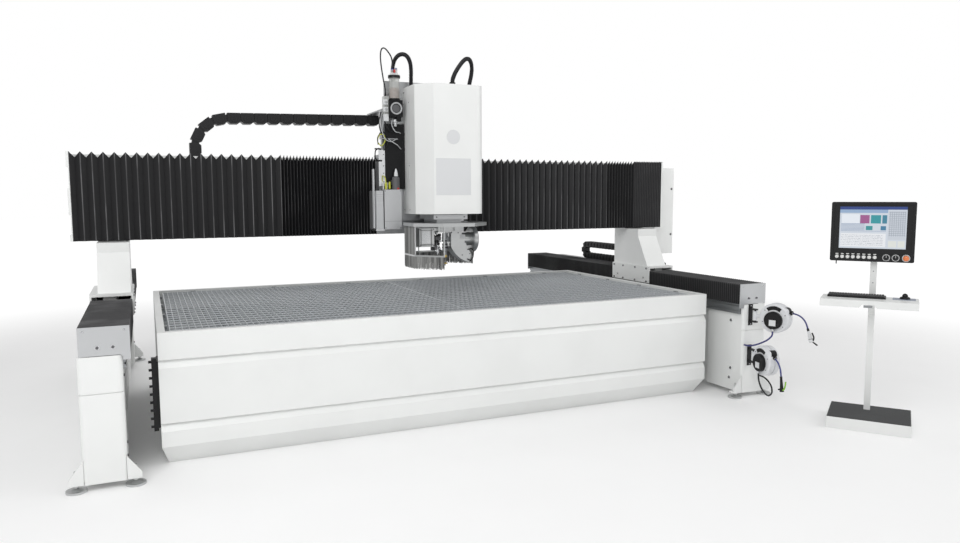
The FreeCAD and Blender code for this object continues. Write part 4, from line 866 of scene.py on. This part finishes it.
def addReelDetail():
    face, hub = -0.0525, -0.0825
    for name, reel in reels.items():
        body = reel["body"]

        def place(points, reel=name):
            return onReel(reel, points)
        across = (0, -1, 0)
        addTurned(name + "HubCap", [(0.18, face + 0.0005, -0.015)], across,
                  [(0, 0), (0.0758, 0), (0.0758, 0.0245), (0.07, 0.0312), (0.055, 0.0318), (0.052, 0.0308),
                   (0, 0.0308)],
                  "pureBlack", body, 48, place)
        addBoxes(name + "HubPlate", [(0.152, 0.208, hub - 0.0022, hub - 0.0006, -0.06, -0.01)], "barePlate",
                 body, place)
        # Crescent slot over the hub
        a = np.radians(np.linspace(52, 128, 24))
        rows = [np.stack([0.18 + r * np.cos(a), np.full(24, s), r * np.sin(a)], -1)
                for r, s in ((0.074, face - 0.0012), (0.106, face - 0.0012), (0.106, face + 0.002),
                             (0.074, face + 0.002))]
        faces = gridFaces(4, 24, True, False)
        ends = np.array([[0, 24, 48, 72], [23, 95, 71, 47]])
        addMesh(name + "Crescent", place(np.stack(rows).reshape(-1, 3)), np.vstack([faces, ends]),
                "pureBlack", body)
        # Raised rim on both faces, and its screws
        parts = [ringPoints([(0.18, side * 0.0525, 0)], (0, side, 0), 0.1085, 0.1115, -0.001, 0.0022, 64)
                 for side in (-1, 1)]
        joinedMeshes(name + "Rims", [(place(p), f) for p, f in parts], "reel_plastic", body, weld=False)
        b = np.radians(np.arange(6) * 60 + 20)
        screws = np.stack([0.18 + 0.1005 * np.cos(b), np.full(6, face), 0.1005 * np.sin(b)], -1)
        screws = screws[[0, 2, 3, 4, 5]]
        addTurned(name + "Screws", screws, across, disc(0.0042, 0.002), "sealGrey", body, 12, place)
        # Black mouth of the outlet with its rollers' frame
        angle, dip = radians(reel["angle"]), radians(reel["dip"])
        nose = np.array([0.18 + 0.105 * cos(angle), 0, 0.105 * sin(angle)])
        addTurned(name + "Mouth", [nose - [0, 0.027, 0]], (0, 1, 0), disc(0.0355, 0.054, 0.003),
                  "pureBlack", body, 40, place)
        way = np.array([cos(dip), 0, -sin(dip)])
        addTurned(name + "Outlet", [nose], way, [(0, 0), (0.0148, 0), (0.0148, 0.04), (0.0185, 0.041),
                                                 (0.0185, 0.052), (0.012, 0.0585), (0, 0.0585)],
                  "pureBlack", body, 24, place)
        addTurned(name + "Inlet", [(0.18, hub + 0.013, -0.105)], (0, 0, 1),
                  [(0, -0.001), (0.0125, -0.001), (0.0125, 0.024), (0, 0.024)], "silver", body, 6, place)
        # Bolts of the swing bracket
        z = reel["z"]
        addBoxes(name + "BracketBolts", [(2.518, 2.526, -1.4645, -1.4615, z + h - 0.004, z + h + 0.004)
                                         for h in (-0.08, 0.08)],
                 "silver", "root")


addReelDetail()


def addGuns():
    # Upper gun: pale body with a dark trigger; lower gun: black with a green lever
    for name, grip, finish in (("upper", 0.07, "barePlate"), ("lower", 0.078, "leverGreen")):
        reel = reels[name]
        route = reelHose(name)
        way = (route[-1] - route[-2]) / np.linalg.norm(route[-1] - route[-2])
        foot = route[-1] + way * (0.02 + grip + 0.013)
        ahead = onReel(name, (1, 0, 0))[0] - onReel(name, (0, 0, 0))[0]
        line = [foot + ahead * 0.012, foot + ahead * 0.036 - way * 0.018,
                foot + ahead * 0.052 - way * 0.052, foot + ahead * 0.06 - way * 0.08]
        if name == "upper":
            line = [foot + ahead * 0.016, foot + ahead * 0.03 - way * 0.03,
                    foot + ahead * 0.026 - way * 0.07]
        addTube(name + "GunLever", line, 0.0062, finish if name == "lower" else "pureBlack", reel["body"],
                0.004, 12)
        if name == "upper":
            addTurned("upperGunGrip", [route[-1] + way * 0.0215], way,
                      [(0, 0), (0.0112, 0), (0.0152, grip - 0.002), (0.018, grip), (0.018, grip + 0.026),
                       (0, grip + 0.026)],
                      "barePlate", reel["body"], 24)


addGuns()


def addBaseDetail():
    rivets, bolts = [], []
    for side in (-1, 1):
        rivets += [(side * x, -1.458, 0.985) for x in (2.432, 2.658)]
        bolts += [(side * x, -1.458, 0.884) for x in (2.498, 2.584)]
    front = (0, -1, 0)
    addTurned("plateRivets", rivets, front, [(0, 0), (0.007, 0), (0.005, 0.003), (0, 0.004)], "silver",
              "root", 16)
    addTurned("plateWashers", bolts, front, disc(0.015, 0.002), "silver", "root", 24)
    addTurned("plateBolts", [(x, y - 0.0015, z) for x, y, z in bolts], front, disc(0.0095, 0.007),
              "sealGrey", "root", 6)
    inner = [(2.455, -1.295, 0.671), (2.455, -1.305, 0.24), (2.455, -1.292, 0.151), (2.455, 2.3, 0.671),
             (2.455, 2.3, 0.24)]
    for side in (-1, 1):
        name = "right" if side > 0 else "left"
        spots = [(side * x, y, z) for x, y, z in inner]
        addTurned(name + "BaseWashers", spots, (-side, 0, 0), disc(0.014, 0.002), "silver", "root", 20)
        addTurned(name + "BaseBolts", [(x - side * 0.0015, y, z) for x, y, z in spots], (-side, 0, 0),
                  disc(0.009, 0.007), "sealGrey", "root", 6)
        shoe = [(side * 2.395, y, z) for y in (0.456, 0.29, 0.075, -0.12) for z in (1.033, 0.9)]
        addTurned(name + "ShoeWashers", shoe, (-side, 0, 0), disc(0.0125, 0.0018), "silver", "gantry", 20)
        addTurned(name + "ShoeBolts", [(x - side * 0.0012, y, z) for x, y, z in shoe], (-side, 0, 0),
                  disc(0.008, 0.0065), "sealGrey", "gantry", 6)


addBaseDetail()


headAxis = (0.16, -0.17)
guard = {"apothem": 0.335, "sides": (0, 1, 2, 3, 4), "tallSide": 3, "tallTop": 1.518, "lowTop": 1.264,
         "bottom": 1.1515, "spread": 0.022, "rows": 3, "perRow": 70}


def addHeadDetail():
    # Bristles: close rows of thin slips along the low sides and the tall one
    rng = np.random.default_rng(7)
    center = np.array(headAxis)
    parts = []
    corner = guard["apothem"] / cos(pi / 8)
    for side in guard["sides"]:
        a0, a1 = pi / 8 + side * pi / 4, pi / 8 + (side + 1) * pi / 4
        p0, p1 = (center + corner * np.array([cos(a), sin(a)]) for a in (a0, a1))
        along = (p1 - p0) / np.linalg.norm(p1 - p0)
        out = np.array([along[1], -along[0]])
        out = out if out @ ((p0 + p1) / 2 - center) > 0 else -out
        for row in range(guard["rows"]):
            count = guard["perRow"]
            t = (np.arange(count) + rng.uniform(0.2, 0.8, count)) / count
            base = p0 + (p1 - p0) * t[:, None] - out * (0.0085 - 0.003 * row)
            top = guard["tallTop"] if side == guard["tallSide"] else guard["lowTop"]
            low = guard["bottom"] + rng.uniform(0, guard["spread"], count)
            w = rng.uniform(0.0009, 0.0019, count)
            lean = rng.uniform(-0.004, 0.004, count)
            corners = []
            for z, shift in ((low, lean), (np.full(count, top), np.zeros(count))):
                for u, v in ((-1, -0.5), (1, -0.5), (1, 0.5), (-1, 0.5)):
                    xy = base + along * (u * w + shift)[:, None] + out * v * 0.0014
                    corners.append(np.column_stack([xy, z]))
            points = np.stack(corners, 1)
            parts.append((points.reshape(-1, 3),
                          (boxFaces + 8 * np.arange(count)[:, None, None]).reshape(-1, 4)))
    skirt = joinedMeshes("bristles", parts, "bristle", "ram", weld=False)
    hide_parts("brush_skirt")
    body = "head_swivel"
    x0, x1, y0, z0, z1 = -0.102, 0.035, -0.232, 1.338, 1.5
    levels = (z0 + 0.012, z0 + 0.02, z1 - 0.018)
    ribs = [(x0 + 0.006, x1 - 0.006, y0 - 0.003, y0 + 0.001, z, z + 0.004) for z in levels]
    ribs += [(x, x + 0.004, y0 - 0.004, y0 + 0.001, z0 + 0.004, z1 - 0.004)
             for x in (x0 + 0.012, x1 - 0.03)]
    addBoxes("servoRibs", ribs, "sealGrey", body)
    addBoxes("servoFace", [(x0 + 0.022, x1 - 0.036, y0 - 0.002, y0 + 0.001, z0 + 0.03, z1 - 0.026)],
             "silver", body)
    addTurned("servoScrews", [(x, y0, z) for x in (x0 + 0.006, x1 - 0.006)
                              for z in (z0 + 0.008, z1 - 0.008)], (0, -1, 0),
              disc(0.0042, 0.004), "sealGrey", body, 12)
    flange = [(x, -0.12, z) for x in (-0.134, 0.056) for z in (1.345, 1.42, 1.49)]
    addTurned("flangeScrews", flange, (0, -1, 0), disc(0.006, 0.005), "sealGrey", body, 12)
    arm = [(0.198, -0.235, 1.46), (0.262, -0.235, 1.455), (0.33, -0.235, 1.37), (0.375, -0.235, 1.265),
           (0.3, -0.235, 1.255)]
    addTurned("armScrews", arm, (0, -1, 0), disc(0.0055, 0.003), "sealGrey", body, 12)
    addBoxes("armLabelPlate", [(0.282, 0.33, -0.2362, -0.2345, 1.4, 1.44)], "barePlate", body)
    bits = [(0.075, 0.11, -0.205, -0.17, 1.425, 1.45), (0.064, 0.098, -0.236, -0.21, 1.43, 1.452)]
    addBoxes("headClamps", bits, "pureBlack", body)
    block = [(0.046, 0.098, -0.235, -0.19, 1.395, 1.425), (0.052, 0.09, -0.228, -0.15, 1.352, 1.372),
             (0.06, 0.098, -0.215, -0.175, 1.296, 1.33), (0.04, 0.062, -0.24, -0.2, 1.318, 1.345),
             (0.044, 0.1, -0.15, -0.11, 1.3, 1.43)]
    addBoxes("headBlocks", block, "sealGrey", body)
    nuts = [(0.056, -0.24, 1.452), (0.088, -0.24, 1.385), (0.07, -0.236, 1.342), (0.05, -0.238, 1.3),
            (0.09, -0.222, 1.318)]
    addTurned("headNuts", nuts, (0, -1, 0), [(0, -0.03), (0.01, -0.03), (0.01, 0.006), (0.006, 0.008),
                                             (0.006, 0.016), (0, 0.016)],
              "silver", body, 14)
    addTurned("headCylinder", [(0.072, -0.205, 1.262)], (0, 0, 1),
              [(0, 0), (0.006, 0), (0.006, 0.012), (0.016, 0.014), (0.016, 0.11), (0, 0.112)], "silver",
              body, 24)
    # Abrasive hose and air line down to the nozzle
    addTube("abrasiveHose", [(0.062, -0.15, 1.44), (0.066, -0.222, 1.4), (0.08, -0.226, 1.345),
                             (0.105, -0.206, 1.3)],
            0.0062, "pureBlack", body, 0.004, 12)
    addTube("sensorLoop", [(0.352, -0.236, 1.302), (0.385, -0.246, 1.31), (0.402, -0.25, 1.29),
                           (0.398, -0.25, 1.235), (0.378, -0.248, 1.205), (0.35, -0.24, 1.218)], 0.0052,
            "pureBlack", body, 0.004, 12)
    collar = [(x, -0.31, 1.599) for x in (0.03, 0.29)]
    addTurned("collarScrews", collar, (0, -1, 0), disc(0.006, 0.004), "sealGrey", "ram", 12)
    addTurned("valveRings", [(*headAxis, z) for z in (1.378, 1.348, 1.318)], (0, 0, 1),
              disc(0.0265, 0.01, 0.002), "pureBlack", "nozzle", 28)
    addTurned("nozzleNut", [(*headAxis, 1.232)], (0, 0, 1),
              [(0, 0), (0.014, 0), (0.0195, 0.006), (0.0195, 0.024), (0, 0.026)], "brass", "nozzle", 28)
    addTurned("mistGuard", [(*headAxis, 1.176)], (0, 0, 1),
              [(0, 0), (0.02, 0), (0.026, 0.004), (0.018, 0.013), (0, 0.014)], "brass", "nozzle", 28, None,
              True)


addHeadDetail()
print("head done")


# Reference places: side and front of the carriage cover, front of the silver box, axis of the hopper
cover = {"side": -0.128, "front": -0.3425}
boxFront = -0.02
hopperAxis = (-0.228, 0.035)


def addCarriageDetail():
    body = "carriage"
    front, left, up = (0, -1, 0), (-1, 0, 0), (0, 0, 1)
    addBoxes("coverSheet", [(0.017, 0.342, -0.3442, -0.3425, 1.79, 2.107)], "barePlate", body)
    addTurned("coverBadge", [(0.18, cover["front"], 2.29)], front, disc(0.062, 0.0022, 0.001), "barePlate",
              body, 48)
    glands = [(cover["side"], 0.081, 2.333), (cover["side"], 0.079, 2.199)]
    gland = [(0, 0), (0.02, 0), (0.02, 0.006), (0.015, 0.008), (0.015, 0.022), (0.01, 0.026), (0, 0.026)]
    addTurned("coverGlands", glands, left, gland, "pureBlack", body, 20)
    addBoxes("coverSlot", [(-0.1292, -0.127, 0.06, 0.094, 2.695, 2.703)], "pureBlack", body)
    addTurned("coverScrews", [(cover["side"], y, z) for y in (-0.06, 0.085) for z in (1.66, 2.05, 2.6)],
              left, disc(0.0045, 0.002), "sealGrey", body, 12)
    # Abrasive inside the hopper tube, its cap ring, and the push-in fittings on top
    addTurned("garnetFill", [(*hopperAxis, 2.634)], up,
              [(0, 0), (0.043, 0), (0.043, 0.09), (0.02, 0.102), (0, 0.104)], "garnet", body, 32)
    parts = [ringPoints([(*hopperAxis, 2.82)], up, 0.03, 0.0535, -0.004, 0.018, 40),
             ringPoints([(*hopperAxis, 2.63)], up, 0.03, 0.049, -0.004, 0.008, 40)]
    joinedMeshes("hopperRings", parts, "pureBlack", body, weld=False)
    addTurned("blueCollets", [(-0.246, 0.035, 2.8795), (-0.21, 0.035, 2.89)], up,
              disc(0.0115, 0.016, 0.002), "fittingBlue", body, 20)
    addBoxes("fittingBody", [(-0.262, -0.196, 0.022, 0.048, 2.842, 2.862)], "barePlate", body)
    addTurned("redCollet", [(-0.228, 0.02, 2.862)], up, disc(0.009, 0.026, 0.002), "fittingRed", body, 20)
    # Black valve with its round window
    addBoxes("valveCase", [(-0.2895, -0.1665, -0.0115, 0.071, 2.479, 2.6235)], "pureBlack", body)
    addBoxes("blackSheet", [(-0.318, -0.133, 0.054, 0.059, 1.846, 2.42)], "pureBlack", body)
    addBoxes("whiteStrip", [(-0.376, -0.32, 0.046, 0.054, 1.872, 2.19)], "barePlate", body)
    addTurned("valveDisc", [(-0.228, -0.0115, 2.55)], front, disc(0.034, 0.004, 0.001), "sealGrey", body,
              32)
    joinedMeshes("windowRing", [ringPoints([(-0.228, -0.012, 2.55)], front, 0.04, 0.0535, -0.004, 0.0085,
                                           40)], "silver", body, weld=False)
    valve = [(-0.275, -0.234, -0.008, 0.06, 2.47, 2.484), (-0.222, -0.18, -0.008, 0.06, 2.44, 2.484)]
    addBoxes("valveFeet", valve, "pureBlack", body)
    addTurned("valveStem", [(-0.228, 0.02, 2.395)], up,
              [(0, 0), (0.014, 0), (0.014, 0.03), (0.022, 0.034), (0.022, 0.06), (0, 0.06)], "silver", body,
              24)
    # White pneumatic valves beside it
    white = [(-0.336, -0.296, 0.004, 0.03, 2.52, 2.56), (-0.34, -0.3, 0.000, 0.03, 2.58, 2.625),
             (-0.33, -0.29, 0.012, 0.05, 2.44, 2.5)]
    addBoxes("pilotValves", white, "barePlate", body)
    addTurned("pilotKnobs", [(-0.318, 0.0, 2.602), (-0.316, 0.004, 2.54)], front, disc(0.011, 0.014, 0.003),
              "silver", body, 20)
    addTurned("pilotPins", [(-0.312, 0.035, 2.655)], up, disc(0.007, 0.018, 0.002), "pureBlack", body, 16)
    # Cables: grey loops to the glands, black feeders and one yellow-green coil
    tubes = {
        "greyLoopUpper": ([(-0.25, 0.03, 2.47), (-0.262, 0.01, 2.405), (-0.235, 0.000, 2.35),
                           (-0.19, 0.03, 2.345), (-0.152, 0.078, 2.334)], 0.0042, "cableGrey"),
        "greyLoopLower": ([(-0.3, 0.045, 2.3), (-0.262, 0.02, 2.262), (-0.215, 0.015, 2.235),
                           (-0.175, 0.045, 2.205), (-0.152, 0.077, 2.2)], 0.0042, "cableGrey"),
        "greyLoopWide": ([(-0.33, 0.04, 2.44), (-0.352, 0.01, 2.36), (-0.33, 0.000, 2.285),
                          (-0.27, 0.01, 2.262), (-0.21, 0.04, 2.29)], 0.0038, "cableGrey"),
        "blackFeedOne": ([(-0.318, 0.045, 2.44), (-0.3, 0.02, 2.38), (-0.262, 0.012, 2.345),
                          (-0.236, 0.03, 2.4)], 0.0055, "pureBlack"),
        "blackFeedTwo": ([(-0.345, 0.06, 2.52), (-0.372, 0.03, 2.44), (-0.366, 0.02, 2.36),
                          (-0.33, 0.045, 2.3)], 0.0055, "pureBlack"),
        "coilYellow": ([(-0.352, 0.055, 2.225), (-0.384, 0.045, 2.262), (-0.372, 0.03, 2.318),
                        (-0.332, 0.03, 2.318), (-0.318, 0.042, 2.268), (-0.345, 0.055, 2.222)], 0.0048,
                       "cableYellow"),
        "blackCoil": ([(-0.33, 0.05, 2.18), (-0.3, 0.038, 2.235), (-0.302, 0.028, 2.3),
                       (-0.345, 0.024, 2.345), (-0.385, 0.034, 2.3), (-0.38, 0.048, 2.235)], 0.0042,
                      "pureBlack"),
        "panelFeed": ([(-0.372, 0.04, 2.205), (-0.405, 0.045, 2.18), (-0.402, 0.06, 2.12),
                       (-0.372, 0.075, 2.09)], 0.005, "pureBlack"),
    }
    for name, (points, radius, finish) in tubes.items():
        addTube(name, points, radius, finish, body, 0.006, 10)
    handles = [(-0.412, -0.352, 0.04, 0.052, 2.192, 2.204), (-0.36, -0.352, 0.052, 0.09, 2.15, 2.204),
               (-0.402, -0.345, 0.046, 0.06, 2.088, 2.102)]
    addBoxes("sideHandles", handles, "pureBlack", body)
    addBoxes("upperTray", [(-0.352, -0.2, 0.04, 0.1, 2.285, 2.291),
                           (-0.352, -0.346, 0.04, 0.1, 2.291, 2.345)], "silver", body)
    strip = [(-0.334, 0.046, z) for z in (2.15, 2.05, 1.985, 1.91)]
    addTurned("stripScrews", strip, front, disc(0.0045, 0.003), "sealGrey", body, 12)
    # Between panel and silver box: white cone, dark filter, coloured push-in fittings
    addTurned("whiteCone", [(-0.228, 0.02, 1.958)], up,
              [(0, 0), (0.018, 0), (0.016, 0.03), (0.006, 0.066), (0, 0.068)], "barePlate", body, 24)
    addTurned("darkFilter", [(-0.232, 0.015, 1.842)], up,
              [(0, 0), (0.034, 0), (0.034, 0.1), (0.026, 0.112), (0, 0.112)], "sealGrey", body, 28)
    addTurned("redCapLow", [(-0.222, -0.008, 1.842)], up, disc(0.014, 0.016, 0.004), "fittingRed", body, 20)
    addTurned("yellowFittings", [(-0.322, 0.02, 1.842), (-0.288, 0.02, 1.848)], up,
              [(0, 0), (0.009, 0), (0.009, 0.05), (0.006, 0.062), (0, 0.062)], "cableYellow", body, 16)
    addTurned("greyFittings", [(-0.344, 0.03, 1.835), (-0.304, 0.045, 1.842)], up,
              [(0, 0), (0.01, 0), (0.01, 0.034), (0.014, 0.036), (0.014, 0.06), (0, 0.062)], "silver", body,
              16)
    addTube("yellowLead", [(-0.322, 0.02, 1.9), (-0.33, 0.018, 1.945), (-0.35, 0.03, 1.96),
                           (-0.345, 0.052, 1.9)], 0.004, "cableYellow", body, 0.005, 10)
    # Silver box and louvred box
    z0, z1 = 1.49, 1.84
    addBoxes("boxSeams", [(-0.3515, -0.1905, -0.0208, -0.019, z0 + 0.07, z0 + 0.0715)], "sealGrey", body)
    addTurned("boxScrews", [(x, boxFront, z) for x in (-0.34, -0.202) for z in (z0 + 0.012, z1 - 0.012)],
              front, disc(0.004, 0.002), "sealGrey", body, 12)
    addBoxes("louvres", [(-0.421, -0.364, -0.0225, -0.019, z, z + 0.004)
                         for z in 1.722 + 0.0165 * np.arange(6)], "barePlate", body)
    addBoxes("boxFoot", [(-0.43, -0.352, -0.018, 0.15, 1.478, 1.492)], "silver", body)
    addBoxes("backRail", [(-0.436, -0.428, 0.02, 0.06, 1.5, 2.02)], "barePlate", body)


addCarriageDetail()
print("carriage done")


def addFrameDetail():
    # Cabinet door with its locks and hinges
    addBoxes("cabinetDoor", [(2.8445, 3.0725, 0.3375, 0.3405, 1.155, 2.06)], "white_paint", "gantry")
    addTurned("cabinetLocks", [(3.052, 0.3375, z) for z in (1.35, 1.85)], (0, -1, 0),
              disc(0.012, 0.004, 0.001), "sealGrey", "gantry", 24)
    addBoxes("cabinetHinges", [(2.846, 2.856, 0.33, 0.338, z, z + 0.05) for z in (1.25, 1.92)], "sealGrey",
             "gantry")
    # Coloured cables inside the long chain's loop
    for k, (finish, shift) in enumerate((("cableGreen", 0.0), ("cableOrange", 0.014), ("cableGrey", -0.014),
                                         ("cableGreen", 0.022))):
        x, r = 2.776 + shift, 0.066 + 0.005 * (k % 2)
        a = np.linspace(-pi / 2, pi / 2, 14)
        arc = [(x, 1.59 + r * cos(t), 1.105 + r * sin(t)) for t in a]
        below, above = [(x, y, 1.105 - r) for y in (0.75, 1.2)], [(x, y, 1.105 + r) for y in (1.2, 0.75)]
        line = below + arc + above
        addTube("chainCable" + str(k), line, 0.005, finish, "root", 0.02, 10)


addFrameDetail()
print("frame details done")


studio = {"floorColor": (0.96, 0.96, 0.96), "backdrop": 1.0, "fill": 0.52, "nearReach": 4.6,
          "farReach": 9.0, "lamps": [((-4.5, -7.0, 6.5), 6.0, 400.0), ((6.5, -5.0, 5.5), 6.0, 150.0),
                                     ((0.0, 6.0, 7.0), 7.0, 150.0)]}


def floorShade(parts):
    # Near the machine the floor takes light and shadow, further out it turns into the white backdrop
    tree = parts["tree"]
    reach = addNode(tree, "ShaderNodeVectorMath", [parts["place"]], 1, operation="LENGTH")
    far = reach.ramp(studio["nearReach"], studio["farReach"])
    parts["color"] = mixColors(tree, far, parts["color"], (0.0, 0.0, 0.0))
    parts["glow"] = mixColors(tree, far, (0.0, 0.0, 0.0), (1.0, 1.0, 1.0))


def addStudio():
    mesh = bpy.data.meshes.new("floor")
    mesh.from_pydata([(-60, -60, 0), (60, -60, 0), (60, 60, 0), (-60, 60, 0)], [], [(0, 1, 2, 3)])
    floor = bpy.data.objects.new("floor", mesh)
    bpy.context.scene.collection.objects.link(floor)
    mesh.materials.append(addMaterial("floorFinish", {"color": studio["floorColor"], "roughness": 0.85,
                                                      "stain": 0.1, "bump": 0.0}, floorShade))
    world = bpy.data.worlds.new("studio")
    bpy.context.scene.world = world
    world.use_nodes = True
    tree = world.node_tree
    tree.nodes.clear()
    out = tree.nodes.new("ShaderNodeOutputWorld")
    rays = addNode(tree, "ShaderNodeLightPath", output="Is Camera Ray")
    soft = addNode(tree, "ShaderNodeBackground", {"Color": (1, 1, 1, 1), "Strength": studio["fill"]})
    white = addNode(tree, "ShaderNodeBackground", {"Color": (1, 1, 1, 1), "Strength": studio["backdrop"]})
    mix = addNode(tree, "ShaderNodeMixShader", [rays, soft, white])
    tree.links.new(mix.socket, out.inputs["Surface"])
    for number, (place, size, power) in enumerate(studio["lamps"]):
        data = bpy.data.lights.new("lamp" + str(number), "AREA")
        data.size = size
        data.energy = power
        lamp = bpy.data.objects.new("lamp" + str(number), data)
        lamp.location = place
        lamp.rotation_euler = (Vector((0, 0, 1.0)) - Vector(place)).to_track_quat("-Z", "Y").to_euler()
        bpy.context.scene.collection.objects.link(lamp)


addStudio()
